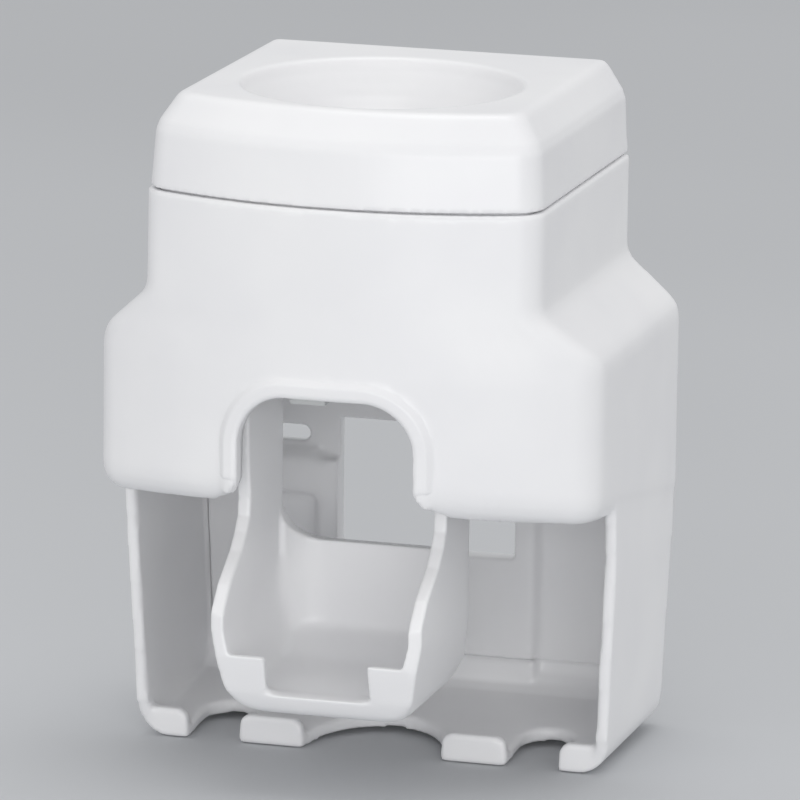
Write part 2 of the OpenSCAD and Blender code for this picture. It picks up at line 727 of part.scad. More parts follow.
// The silicone collar: a flanged cup whose bore grips the tube's neck
collar_top_z = deck_z + collar_t;
collar_floor = 1.2;
collar_low_z = collar_top_z - collar_bore_h - collar_floor;
collar_flange_r = collar_r + 1.5;
passage_r = 3;

module tube_collar() {
    color(silicone) translate([0, -tube_y, 0]) difference() {
        union() {
            translate([0, 0, collar_low_z]) cylinder(r = collar_r, h = collar_top_z - collar_low_z);
            translate([0, 0, deck_z]) cylinder(r = collar_flange_r, h = collar_t);
        }
        translate([0, 0, collar_top_z - collar_bore_h]) cylinder(r = collar_bore_r, h = collar_bore_h + over);
        translate([0, 0, collar_low_z - over]) cylinder(r = passage_r, h = collar_floor + 2 * over);
    }
}

// The ring that clamps the collar's flange to the deck
ring_t = 1.6;
ring_r = collar_flange_r + 1.4;
ring_high_z = collar_top_z + ring_t;

module collar_ring() {
    color(inner_grey) translate([0, -tube_y, deck_z]) difference() {
        union() {
            cylinder(r = ring_r, h = ring_high_z - deck_z);
            for (side = [-1, 1]) translate([0, side * ring_screw_y, 0])
                cylinder(r = boss_r, h = ring_high_z - deck_z);
            translate([-boss_r, -ring_screw_y, 0]) cube([2 * boss_r, 2 * ring_screw_y, ring_high_z - deck_z]);
        }
        translate([0, 0, -over]) cylinder(r = collar_flange_r + running, h = over + collar_t);
        cylinder(r = collar_bore_r + 0.3, h = 2 * ring_t + 3 * over);
        for (side = [-1, 1]) translate([0, side * ring_screw_y, -over])
            cylinder(r = screw_r + 0.1, h = 2 * ring_t + 3 * over);
    }
}

module ring_screws() {
    color(steel) for (side = [-1, 1])
        translate([0, side * ring_screw_y - tube_y, ring_high_z + screw_head_h]) rotate([180, 0, 0])
            screw(ring_high_z - deck_under + boss_h);
}

// A silicone duckbill valve: a disc with a slit bill that lets paste through downwards only
valve_t = 1.8;
slit_w = 0.3;
module duckbill(bill_r, bill_h) {
    difference() {
        union() {
            cylinder(r = squeeze_r, h = valve_t);
            translate([0, 0, -bill_h]) cylinder(r1 = bill_r / 2, r2 = bill_r, h = bill_h + 0.1);
        }
        translate([0, 0, 0.1]) cylinder(r1 = bill_r / 2, r2 = bill_r, h = valve_t);
        translate([-bill_r / 2, -slit_w / 2, -bill_h - over]) cube([bill_r, slit_w, bill_h + 2 * over]);
    }
}

inlet_bill_r = 2.6;
inlet_bill_h = 2.4;
module inlet_valve() {
    color(silicone) translate([0, -tube_y, collar_low_z - valve_t]) duckbill(inlet_bill_r, inlet_bill_h);
}

// The pump body: a sleeve under the deck, open in front of the squeeze tube so that the bar can reach it
pump_low_z = deck_under - pump_h;
pump_flange_t = 2;
bar_room_low = 1;
bar_room_high = 3;
pump_open_low_z = bar_z - bar_r - bar_room_low;
pump_open_high_z = bar_z + bar_r + bar_room_high;

module pump_body() {
    color(inner_grey) translate([0, -tube_y, 0]) difference() {
        union() {
            translate([0, 0, pump_low_z]) cylinder(r = pump_r, h = deck_under - pump_low_z);
            translate([0, 0, deck_under - pump_flange_t]) {
                for (side = [-1, 1]) translate([side * pump_screw_x, 0, 0])
                    cylinder(r = boss_r, h = pump_flange_t);
                translate([-pump_screw_x, -boss_r, 0]) cube([2 * pump_screw_x, 2 * boss_r, pump_flange_t]);
            }
        }
        translate([0, 0, collar_low_z]) cylinder(r = collar_r + running, h = deck_under);
        translate([0, 0, pump_low_z - over]) cylinder(r = squeeze_r + running, h = deck_under);
        translate([-2 * pump_r, -2 * pump_r - bar_r, pump_open_low_z])
            cube([4 * pump_r, 2 * pump_r, pump_open_high_z - pump_open_low_z]);
        for (side = [-1, 1]) translate([side * pump_screw_x, 0, deck_under - pump_flange_t - over])
            cylinder(r = screw_r + 0.1, h = pump_flange_t + 2 * over);
        translate([0, tube_y - pivot_y, pivot_z]) rotate([0, 90, 0])
            cylinder(r = shaft_r + near, h = 4 * pump_r, center = true);
    }
}

module pump_screws() {
    color(steel) for (side = [-1, 1])
        translate([side * pump_screw_x, -tube_y, deck_under - pump_flange_t - screw_head_h])
            screw(pump_flange_t + deck_t + boss_h - 0.4);
}

module squeeze_tube() {
    color(silicone) translate([0, -tube_y, pump_low_z + valve_t]) difference() {
        cylinder(r = squeeze_r, h = collar_low_z - pump_low_z - 2 * valve_t);
        translate([0, 0, -over]) cylinder(r = squeeze_r - squeeze_wall, h = collar_low_z - pump_low_z + over);
    }
}

outlet_bill_h = 1.6;
module outlet_valve() {
    color(silicone) translate([0, -tube_y, pump_low_z]) duckbill(nozzle_bore_r - 0.2, outlet_bill_h);
}

// The cap that closes the pump body, with the nozzle and a grip tab
cap_floor = 1.4;
cap_skirt_h = 2.6;
cap_t = 1.4;
nozzle_r = nozzle_bore_r + 1.3;
grip_gap = 2.6;
grip_t = 2;

module nozzle_cap() {
    cap_low_z = pump_low_z - cap_floor;
    nozzle_z = cap_low_z - nozzle_h;
    cap_r = pump_r + running + cap_t;
    color(inner_grey) translate([0, -tube_y, 0]) difference() {
        union() {
            translate([0, 0, cap_low_z]) cylinder(r = cap_r, h = cap_floor + cap_skirt_h);
            translate([0, 0, nozzle_z]) cylinder(r = nozzle_r, h = cap_low_z - nozzle_z + 0.5);
            translate([-cap_r + 1, -cap_r, nozzle_z])
                cube([cap_r - nozzle_r - grip_gap, grip_t, cap_low_z - nozzle_z + 0.5]);
            translate([-nozzle_r - grip_gap, -cap_r + grip_t / 2, nozzle_z])
                cylinder(r = grip_t / 2, h = cap_low_z - nozzle_z + 0.5);
            translate([-cap_r + 1, -cap_r, cap_low_z])
                cube([cap_r - nozzle_r - grip_gap, cap_r / 2, cap_floor]);
        }
        translate([0, 0, pump_low_z]) cylinder(r = pump_r + running, h = 3 * cap_skirt_h);
        translate([0, 0, nozzle_z - over]) cylinder(r = nozzle_bore_r, h = pump_low_z - nozzle_z + 2 * over);
    }
}

// The lever: two arms on the shaft that reach down to a scoop for the toothbrush head
lever_top_z = deck_under - near;
boss_arm_r = lever_top_z - pivot_z;
arm_set_back = 8.9;
arm_w = 17.1;
foot_set_back = 1.1;
arm_front = case_depth - arm_set_back;
arm_back = arm_front - arm_w;
arm_foot = arm_front - foot_set_back;
scoop_corner = 8.5;
scoop_bow_r = 90;
scoop_bow_flat = 0.35;
scoop_lean = 2.4;
scoop_low_corner = 4.6;
scoop_side_z = 24.5;
lip_rim_z = 25.6;
scoop_mouth_z = 37.4;
scoop_floor_low = scoop_notch_z - 0.4;
scoop_floor_high = scoop_floor_low + 3.6;

// Side view of the lever's outside as [y, z] points, from the shaft down the front and up the back
module lever_side_view() {
    polygon([
        [-pivot_y - boss_arm_r, lever_top_z], [-pivot_y - boss_arm_r, pivot_z],
        [-arm_front - 0.2, arch_z - 3], [-arm_front, arch_z - 10], [-arm_foot, scoop_mouth_z + 4],
        [-arm_foot - 0.3, scoop_mouth_z + 1.4], [-arm_foot - 1.6, scoop_mouth_z - 0.6],
        [-arm_foot - 4, scoop_mouth_z - 3], [-scoop_front + 4, scoop_mouth_z - 6.6],
        [-scoop_front + 1.6, scoop_mouth_z - 9.2], [-scoop_front + 0.3, lip_rim_z + 0.6],
        [-scoop_front, lip_rim_z - 1], [-scoop_front + 0.2, lip_rim_z - 2.6],
        [-scoop_front + 1.2, scoop_lip_z - 2], [-scoop_front + 2.4, scoop_notch_z],
        [-scoop_front + 4, scoop_z + 0.8], [-scoop_front + 5.6, scoop_z],
        [-scoop_back - 9, scoop_z], [-scoop_back - 4.6, scoop_z + 1.6], [-scoop_back - 1.6, scoop_z + 4.6],
        [-scoop_back, scoop_z + 9], [-scoop_back, scoop_mouth_z + 4.6], [-arm_back, scoop_mouth_z + 9],
        [-arm_back, arch_z - 3], [-pivot_y + boss_arm_r, pivot_z], [-pivot_y, lever_top_z]
    ]);
}

// Side view of the space inside the scoop and between the arms
module lever_side_space() {
    lip_in = scoop_front - lever_t;
    polygon([
        [-scoop_front - over, deck_z + over], [-scoop_front - over, scoop_lip_z],
        [-lip_in, scoop_lip_z], [-lip_in + 1, scoop_lip_z - 2.4], [-lip_in + 2.8, scoop_floor_low + 0.6],
        [-lip_in + 4.6, scoop_floor_low], [-scoop_back - lever_t - 8, scoop_floor_low + 1],
        [-scoop_back - lever_t, scoop_floor_high], [-scoop_back - lever_t, scoop_mouth_z],
        [-scoop_back + over, scoop_mouth_z], [-scoop_back + over, deck_z + over]
    ]);
}

// Front view of the scoop and arms, set in by a distance
module lever_front_view(inset) {
    half_w = lever_half_w - inset;
    low_half_w = half_w - scoop_lean;
    offset(r = scoop_low_corner - inset / 2, $fn = 40) offset(delta = inset / 2 - scoop_low_corner) polygon([
        [-low_half_w, scoop_z + inset], [low_half_w, scoop_z + inset], [half_w, scoop_side_z],
        [half_w, deck_z + 10], [-half_w, deck_z + 10], [-half_w, scoop_side_z]
    ]);
}

// The scoop's outline seen from above, set in by a distance
module lever_plan(inset) {
    half_w = lever_half_w - inset;
    back = scoop_back + inset;
    front = scoop_front + over;
    intersection() {
        offset(r = scoop_corner - inset, $fn = 48) offset(delta = inset - scoop_corner)
            translate([-half_w, -front - scoop_corner]) square([2 * half_w, front - back + scoop_corner]);
        translate([0, scoop_bow_r - scoop_front - scoop_bow_flat]) circle(r = scoop_bow_r, $fn = 200);
    }
}

module lever() {
    color(abs_white) difference() {
        union() {
            intersection() {
                across(2 * lever_half_w) lever_side_view();
                along_depth(0, -scoop_front - over) lever_front_view(0);
                translate([0, 0, scoop_z - over]) linear_extrude(case_h) lever_plan(0);
            }
            translate([0, -pivot_y, pivot_z]) rotate([0, 90, 0])
                cylinder(r = boss_arm_r, h = 2 * lever_half_w, center = true);
        }
        intersection() {
            across(2 * lever_half_w) lever_side_space();
            along_depth(0, -scoop_front - 2 * over) lever_front_view(lever_t);
            union() {
                translate([0, 0, scoop_z - over]) linear_extrude(case_h) lever_plan(lever_t);
                translate([-case_half_w, -scoop_front - 2 * over, scoop_lip_z])
                    cube([2 * case_half_w, scoop_front - arm_back, case_h]);
            }
        }
        translate([-lever_half_w + lever_t, -pivot_y - 3 * boss_arm_r, scoop_mouth_z + 2])
            cube([2 * (lever_half_w - lever_t), 9 * boss_arm_r, case_h]);
        along_depth(-scoop_back + over, -scoop_back - scoop_corner) mouth_view();
        along_depth(-scoop_front + 3 * lever_t, -scoop_front - over) notch_view();
        translate([0, -pivot_y, pivot_z]) rotate([0, 90, 0])
            cylinder(r = shaft_r + running, h = 3 * lever_half_w, center = true);
        translate([0, -bar_y, bar_z]) rotate([0, 90, 0])
            cylinder(r = bar_pin_r + snug, h = 3 * lever_half_w, center = true);
    }
}

// The scoop's mouth towards the wall: a U whose foot is the back wall's top edge
mouth_corner = 6;
module mouth_view() {
    half_w = lever_half_w - lever_t;
    for (side = [-1, 1]) translate([side * (half_w - mouth_corner), scoop_back_z + mouth_corner])
        circle(r = mouth_corner);
    translate([-half_w + mouth_corner, scoop_back_z])
        square([2 * (half_w - mouth_corner), case_h - scoop_back_z]);
    translate([-half_w, scoop_back_z + mouth_corner])
        square([2 * half_w, case_h - scoop_back_z - mouth_corner]);
}

module notch_view() {
    translate([-scoop_notch_half_w, scoop_notch_z]) square([2 * scoop_notch_half_w, case_h]);
}

// The bar between the arms that presses the squeeze tube, with a pin at each end
bar_pin_r = 1.3;
bar_y = tube_y + squeeze_r + near + bar_r;
module squeeze_bar() {
    bar_half = lever_half_w - lever_t - running;
    color(inner_grey) translate([0, -bar_y, bar_z]) rotate([0, 90, 0]) {
        cylinder(r = bar_r, h = 2 * bar_half, center = true);
        cylinder(r = bar_pin_r, h = 2 * lever_half_w, center = true);
    }
}

// The steel shaft through both lugs and both arms, held by a clip in a groove at each end
clip_t = 0.6;
clip_gap = 0.1;
groove_depth = 0.5;
shaft_half = lever_half_w + lug_gap + lug_t + clip_gap + clip_t + 0.8;
clip_x = lever_half_w + lug_gap + lug_t + clip_gap + clip_t / 2;
module pivot_shaft() {
    color(steel) translate([0, -pivot_y, pivot_z]) rotate([0, 90, 0]) difference() {
        cylinder(r = shaft_r, h = 2 * shaft_half, center = true);
        for (side = [-1, 1]) translate([0, 0, side * clip_x]) difference() {
            cylinder(r = shaft_r + over, h = clip_t + 2 * snug, center = true);
            cylinder(r = shaft_r - groove_depth, h = 2 * clip_t, center = true);
        }
    }
}

module shaft_clips() {
    clip_r = shaft_r + 1.2;
    color(steel) for (side = [-1, 1]) translate([side * clip_x, -pivot_y, pivot_z]) rotate([0, 90, 0])
        difference() {
        cylinder(r = clip_r, h = clip_t, center = true);
        cylinder(r = shaft_r - groove_depth + snug, h = 2 * clip_t, center = true);
        translate([0, -shaft_r + groove_depth, -clip_t])
            cube([2 * clip_r, 2 * (shaft_r - groove_depth), 2 * clip_t]);
    }
}

// The return spring: a coil round the shaft with one leg under the deck and one behind the squeeze bar
spring_wire_r = 0.4;
spring_turns = 3;
spring_coil_r = shaft_r + 1.1;
spring_pitch = 1.3;
spring_sides = 8;
spring_slices = 16;
spring_arm_gap = 0.8;
spring_l = spring_turns * spring_pitch;
spring_x = lever_half_w - lever_t - spring_arm_gap - spring_l;

// The lower leg leaves the back of the coil and slants towards the wall, clear of the bar
leg_drop = pivot_z - bar_z;
leg_ahead = pivot_y - bar_y - spring_coil_r;
leg_slant = asin((bar_r + spring_wire_r + near) / norm([leg_drop, leg_ahead])) + atan2(leg_ahead, leg_drop);

module return_spring() {
    color(steel) for (side = [-1, 1]) translate([side * spring_x, -pivot_y, pivot_z])
        mirror([side > 0 ? 0 : 1, 0, 0]) {
        rotate([0, 90, 0])
            linear_extrude(spring_l, twist = 360 * spring_turns, slices = spring_slices * spring_turns,
            $fn = spring_sides)
            translate([0, spring_coil_r]) circle(r = spring_wire_r, $fn = spring_sides);
        translate([0, spring_coil_r, 0])
            cylinder(r = spring_wire_r, h = deck_under - pivot_z - spring_wire_r);
        translate([spring_l, spring_coil_r, 0]) rotate([180 + leg_slant, 0, 0])
            cylinder(r = spring_wire_r, h = leg_drop / cos(leg_slant) + bar_r);
    }
}

translate([0, 0, -slot_z]) lid();
translate([0, 0, -slot_z]) housing();
translate([0, 0, -slot_z]) back_plate();
translate([0, 0, -slot_z]) back_screws();
translate([0, 0, -slot_z]) chassis();
translate([0, 0, -slot_z]) deck_screws();
translate([0, 0, -slot_z]) tube_collar();
translate([0, 0, -slot_z]) collar_ring();
translate([0, 0, -slot_z]) ring_screws();
translate([0, 0, -slot_z]) inlet_valve();
translate([0, 0, -slot_z]) pump_body();
translate([0, 0, -slot_z]) pump_screws();
translate([0, 0, -slot_z]) squeeze_tube();
translate([0, 0, -slot_z]) outlet_valve();
translate([0, 0, -slot_z]) nozzle_cap();
translate([0, 0, -slot_z]) lever();
translate([0, 0, -slot_z]) squeeze_bar();
translate([0, 0, -slot_z]) pivot_shaft();
translate([0, 0, -slot_z]) shaft_clips();
translate([0, 0, -slot_z]) return_spring();
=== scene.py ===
"""Looks of a wall-hung toothpaste dispenser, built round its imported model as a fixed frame."""
import json
import math

import bmesh
import bpy
from bpy.props import FloatProperty, IntProperty, PointerProperty, StringProperty
from mathutils import Matrix, Vector


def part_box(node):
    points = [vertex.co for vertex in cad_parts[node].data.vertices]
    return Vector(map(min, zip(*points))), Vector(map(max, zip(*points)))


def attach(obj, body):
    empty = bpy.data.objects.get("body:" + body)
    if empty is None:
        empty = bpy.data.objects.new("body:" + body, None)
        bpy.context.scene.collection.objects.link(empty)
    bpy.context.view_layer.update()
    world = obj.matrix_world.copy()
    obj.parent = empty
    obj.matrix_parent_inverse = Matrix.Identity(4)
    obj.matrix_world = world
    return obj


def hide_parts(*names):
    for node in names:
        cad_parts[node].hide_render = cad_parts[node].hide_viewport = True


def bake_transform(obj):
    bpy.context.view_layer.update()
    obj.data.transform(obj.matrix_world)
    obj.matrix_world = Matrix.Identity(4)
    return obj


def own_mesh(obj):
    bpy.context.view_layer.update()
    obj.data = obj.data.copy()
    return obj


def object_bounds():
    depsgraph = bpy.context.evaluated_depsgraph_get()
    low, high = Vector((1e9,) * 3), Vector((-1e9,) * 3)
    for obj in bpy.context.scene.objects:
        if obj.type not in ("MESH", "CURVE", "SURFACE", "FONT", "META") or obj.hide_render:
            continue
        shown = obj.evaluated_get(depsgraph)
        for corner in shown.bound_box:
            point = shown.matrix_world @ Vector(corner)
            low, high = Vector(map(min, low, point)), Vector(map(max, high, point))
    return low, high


bl_info = {
    "name": "Toothpaste dispenser",
    "version": (1, 0, 0),
    "blender": (4, 5, 0),
    "location": "3D View > Sidebar > Dispenser",
    "description": "Moulded case, lid, lever, pump and fittings of a toothpaste dispenser",
    "category": "Object",
}

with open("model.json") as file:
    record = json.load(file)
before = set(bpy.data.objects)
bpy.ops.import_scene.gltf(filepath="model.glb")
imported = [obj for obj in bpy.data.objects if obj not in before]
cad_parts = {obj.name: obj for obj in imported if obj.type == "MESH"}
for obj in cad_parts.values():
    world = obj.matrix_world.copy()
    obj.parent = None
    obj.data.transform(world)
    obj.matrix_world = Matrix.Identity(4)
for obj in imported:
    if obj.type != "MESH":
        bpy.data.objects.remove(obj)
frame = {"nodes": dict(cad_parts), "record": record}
CAD_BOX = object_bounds()

MM = 0.001
# Heights of the modelling frame start at the lowest edge, and the scene's origin is at the hanging slots
BASE_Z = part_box("housing")[0].z
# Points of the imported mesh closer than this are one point
WELD = 0.0005 * MM


# Small helpers

def linear(colour):
    """A linear RGBA colour from an sRGB hex value such as #f4f4f2."""
    values = [int(colour[i:i + 2], 16) / 255 for i in (1, 3, 5)]
    return [v / 12.92 if v <= 0.04045 else ((v + 0.055) / 1.055) ** 2.4 for v in values] + [1.0]


def add_node(tree, kind, values=None, links=None, **settings):
    """Adds a node with its settings, its input values and the outputs that feed it."""
    made = tree.nodes.new(kind)
    for key, value in settings.items():
        setattr(made, key, value)
    for socket, value in (values or {}).items():
        made.inputs[socket].default_value = value
    for socket, source in (links or {}).items():
        tree.links.new(source, made.inputs[socket])
    return made


def per_metre(size_mm):
    """The scale of a pattern whose features are that many millimetres across."""
    return 1 / (size_mm * MM)


def placed(x, y, z):
    """The place in the scene of a point of the modelling frame, given in millimetres."""
    return Vector((x, y, z)) * MM + Vector((0, 0, BASE_Z))


def measured(place):
    """A place in the scene as millimetres in the modelling frame."""
    return place.x / MM, place.y / MM, (place.z - BASE_Z) / MM


def rise(start, end, value):
    """Runs smoothly from 0 at the start to 1 at the end, which may be the smaller of the two."""
    t = min(1.0, max(0.0, (value - start) / (end - start)))
    return t * t * (3 - 2 * t)


def link(obj):
    """Puts an object in the scene."""
    bpy.context.scene.collection.objects.link(obj)
    return obj


def coat(obj, slot):
    """Gives an object the material of a slot of the record as its only one."""
    obj.data.materials.clear()
    obj.data.materials.append(finish_of(slot))


def settle(obj, slot, body, stands_for=()):
    """Gives a finished piece the material of its slot, hides the nodes it stands for and puts it on the body
    it rides on.
    """
    coat(obj, slot)
    if stands_for:
        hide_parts(*stands_for)
    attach(obj, body)


def baked(obj):
    """Turns an object's modifiers into a plain mesh and removes them."""
    graph = bpy.context.evaluated_depsgraph_get()
    mesh = bpy.data.meshes.new_from_object(obj.evaluated_get(graph))
    obj.modifiers.clear()
    obj.data = mesh
    return obj


def welded(node):
    """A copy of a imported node's mesh with its loose triangles joined."""
    mesh = frame["nodes"][node].data.copy()
    bm = bmesh.new()
    bm.from_mesh(mesh)
    bmesh.ops.remove_doubles(bm, verts=bm.verts, dist=WELD)
    bm.to_mesh(mesh)
    bm.free()
    mesh.materials.clear()
    return mesh


# How far each round of smoothing moves a point towards the middle of its neighbours
SMOOTHING_PULL = 0.5


def soften(obj, rounds, share_at):
    """Rounds a surface off, by the share that a function gives for a place in the modelling frame."""
    group = obj.vertex_groups.new(name="soften")
    for vert in obj.data.vertices:
        share = share_at(*measured(vert.co))
        if share > 0:
            group.add([vert.index], share, "REPLACE")
    ease = obj.modifiers.new("Ease", "SMOOTH")
    ease.factor = SMOOTHING_PULL
    ease.iterations = rounds
    ease.vertex_group = group.name
    baked(obj)
    obj.vertex_groups.clear()


def moulded_copy(node, name, voxel, rounds, share_at=lambda x, y, z: 1.0):
    """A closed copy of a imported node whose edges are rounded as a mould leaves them."""
    form = link(bpy.data.objects.new(name + "_form", welded(node)))
    obj = link(bpy.data.objects.new(name, form.data.copy()))
    remesh = obj.modifiers.new("Skin", "REMESH")
    remesh.mode = "VOXEL"
    remesh.voxel_size = voxel
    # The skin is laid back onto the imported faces, so that flat walls stay flat
    wrap = obj.modifiers.new("Wrap", "SHRINKWRAP")
    wrap.wrap_method = "NEAREST_SURFACEPOINT"
    wrap.target = form
    baked(obj)
    bpy.data.meshes.remove(form.data)
    soften(obj, rounds, share_at)
    obj.data.shade_smooth()
    return obj


def surface_of(name, rings, closed):
    """A mesh through rings of as many points each, given in the modelling frame in millimetres."""
    n = len(rings[0])
    verts = [placed(*point) for ring in rings for point in ring]
    faces = []
    for i in range(len(rings) if closed else len(rings) - 1):
        a, b = i * n, (i + 1) % len(rings) * n
        faces += [(a + j, a + (j + 1) % n, b + (j + 1) % n, b + j) for j in range(n)]
    if not closed:
        faces += [tuple(range(n)), tuple(range(len(verts) - n, len(verts)))]
    mesh = bpy.data.meshes.new(name)
    bm = bmesh.new()
    made = [bm.verts.new(vert) for vert in verts]
    for face in faces:
        bm.faces.new([made[i] for i in face])
    bmesh.ops.recalc_face_normals(bm, faces=bm.faces)
    bm.to_mesh(mesh)
    bm.free()
    mesh.shade_smooth()
    return link(bpy.data.objects.new(name, mesh))


# Materials

# The noise keeps mostly between these two, and that band is spread over the wanted values
NOISE_LOW, NOISE_HIGH = 0.3, 0.7
# A colour mix has these sockets by number, because other kinds of mix share their names
MIX_SHARE, MIX_FIRST, MIX_SECOND, MIX_RESULT = 0, 6, 7, 2


def new_material(name):
    """An empty material with its node tree, its shader and Object coordinates."""
    material = bpy.data.materials.new(name)
    material.use_nodes = True
    tree = material.node_tree
    tree.nodes.clear()
    output = add_node(tree, "ShaderNodeOutputMaterial")
    shader = add_node(tree, "ShaderNodeBsdfPrincipled")
    tree.links.new(shader.outputs["BSDF"], output.inputs["Surface"])
    place = add_node(tree, "ShaderNodeTexCoord").outputs["Object"]
    return material, tree, shader, place


def mottled(tree, place, size_mm, low, high, detail=2.0):
    """A soft noise of that feature size, spread between two values."""
    noise = add_node(tree, "ShaderNodeTexNoise", {"Scale": per_metre(size_mm), "Detail": detail},
                     {"Vector": place})
    spread = {"From Min": NOISE_LOW, "From Max": NOISE_HIGH, "To Min": low, "To Max": high}
    return add_node(tree, "ShaderNodeMapRange", spread, {"Value": noise.outputs["Fac"]}).outputs["Result"]


def tint(tree, shader, place, size_mm, light, dark):
    """Gives a shader a colour that drifts between two tones in patches of that size."""
    cloud = mottled(tree, place, size_mm, 0.0, 1.0)
    tones = {MIX_FIRST: linear(light), MIX_SECOND: linear(dark)}
    mixed = add_node(tree, "ShaderNodeMix", tones, {MIX_SHARE: cloud}, data_type="RGBA")
    tree.links.new(mixed.outputs[MIX_RESULT], shader.inputs["Base Color"])


def moulded(name, light, dark, roughness, peel_mm, peel_depth_mm, ior, subsurface=0.0):
    """Moulded plastic or rubber: a nearly even colour, a faint cloudiness and a fine orange peel."""
    cloud_mm, gloss_mm, scatter_mm = 22.0, 6.0, 1.2
    shinier, duller = 0.02, 0.03
    material, tree, shader, place = new_material(name)
    tint(tree, shader, place, cloud_mm, light, dark)
    gloss = mottled(tree, place, gloss_mm, roughness - shinier, roughness + duller)
    tree.links.new(gloss, shader.inputs["Roughness"])
    peel = add_node(tree, "ShaderNodeTexNoise", {"Scale": per_metre(peel_mm), "Detail": 1.0},
                    {"Vector": place})
    bump = add_node(tree, "ShaderNodeBump", {"Strength": 1.0, "Distance": peel_depth_mm * MM},
                    {"Height": peel.outputs["Fac"]})
    tree.links.new(bump.outputs["Normal"], shader.inputs["Normal"])
    shader.inputs["IOR"].default_value = ior
    shader.inputs["Subsurface Weight"].default_value = subsurface
    shader.inputs["Subsurface Radius"].default_value = (1.0, 1.0, 1.0)
    shader.inputs["Subsurface Scale"].default_value = scatter_mm * MM
    return material


def plated(name, light, dark, roughness, grain_mm):
    """Zinc-plated or drawn steel: a metal with a fine grain in its gloss."""
    cloud_mm, grain_detail = 1.6, 3.0
    shinier, duller = 0.06, 0.08
    material, tree, shader, place = new_material(name)
    tint(tree, shader, place, cloud_mm, light, dark)
    gloss = mottled(tree, place, grain_mm, roughness - shinier, roughness + duller, grain_detail)
    tree.links.new(gloss, shader.inputs["Roughness"])
    shader.inputs["Metallic"].default_value = 1.0
    return material


# The materials made so far, by the record's slot
MATERIALS = {}


def finish_of(slot):
    """The material of a slot of the record, made once."""
    look = bpy.context.scene.dispenser_finish
    # The real orange peel and grain are too fine to show, and are drawn as coarse as they need to
    makers = {
        # Injection-moulded ABS: bright white with a satin gloss that shows soft, wide highlights
        "shell_white": lambda: moulded(
            "Moulded ABS white", look.abs_light, look.abs_dark, look.abs_roughness,
            peel_mm=1.4, peel_depth_mm=0.002, ior=1.53),
        # Moulded polypropylene: a little greyer and duller than the case, with a waxy look
        "inner_plastic": lambda: moulded(
            "Moulded polypropylene", "#e3e5e5", "#d9dcdc", roughness=0.46,
            peel_mm=0.9, peel_depth_mm=0.004, ior=1.49, subsurface=0.05),
        # Cast silicone: milky, soft and matt
        "silicone": lambda: moulded(
            "Cast silicone milky", "#e6e6e1", "#dcddd7", roughness=0.55,
            peel_mm=0.6, peel_depth_mm=0.003, ior=1.41, subsurface=0.25),
        # Zinc-plated steel: cool grey with a slightly cloudy shine
        "steel": lambda: plated(
            "Zinc-plated steel", "#c8ccd1", "#aeb3b9", roughness=0.34, grain_mm=0.25),
        # Drawn spring wire: darker than the screws, with a smooth drawn shine
        "spring_steel": lambda: plated(
            "Drawn spring wire", "#a9acb1", "#8f9399", roughness=0.3, grain_mm=0.15),
    }
    if slot not in MATERIALS:
        MATERIALS[slot] = makers[slot]()
    return MATERIALS[slot]


# Geometry node trees

def tree_with(name, inputs):
    """A geometry node tree with named inputs, given as [name, socket type, default]."""
    tree = bpy.data.node_groups.new(name, "GeometryNodeTree")
    tree.interface.new_socket("Geometry", in_out="INPUT", socket_type="NodeSocketGeometry")
    for title, kind, default in inputs:
        socket = tree.interface.new_socket(title, in_out="INPUT", socket_type=kind)
        if default is not None:
            socket.default_value = default
    tree.interface.new_socket("Geometry", in_out="OUTPUT", socket_type="NodeSocketGeometry")
    return tree, add_node(tree, "NodeGroupInput").outputs


def finish_tree(tree, geometry, material):
    """Ends a tree with real geometry in one material."""
    real = add_node(tree, "GeometryNodeRealizeInstances", None, {"Geometry": geometry})
    dressed = add_node(tree, "GeometryNodeSetMaterial", None,
                       {"Geometry": real.outputs[0], "Material": material})
    add_node(tree, "NodeGroupOutput", None, {0: dressed.outputs[0]})
    return tree


def grown(obj, tree, values):
    """Runs a tree on an object with its inputs set by identifier, and keeps the result as a plain mesh."""
    modifier = obj.modifiers.new("Build", "NODES")
    modifier.node_group = tree
    for item in tree.interface.items_tree:
        if item.in_out == "INPUT" and item.name in values:
            modifier[item.identifier] = values[item.name]
    return baked(obj)


# Shares of a screw's own sizes: its head's dome and cross recess, its core and its thread's ridge
DOME_SPREAD = 1.7
RECESS_WIDTH = 0.25
RECESS_REACH = 1.15
RECESS_MIDDLE = -0.55
CORE_SHARE = 0.8
RIDGE_SHARE = 0.14
# Turns of the thread that are left out, half at each end
THREAD_TRIM = 1.2


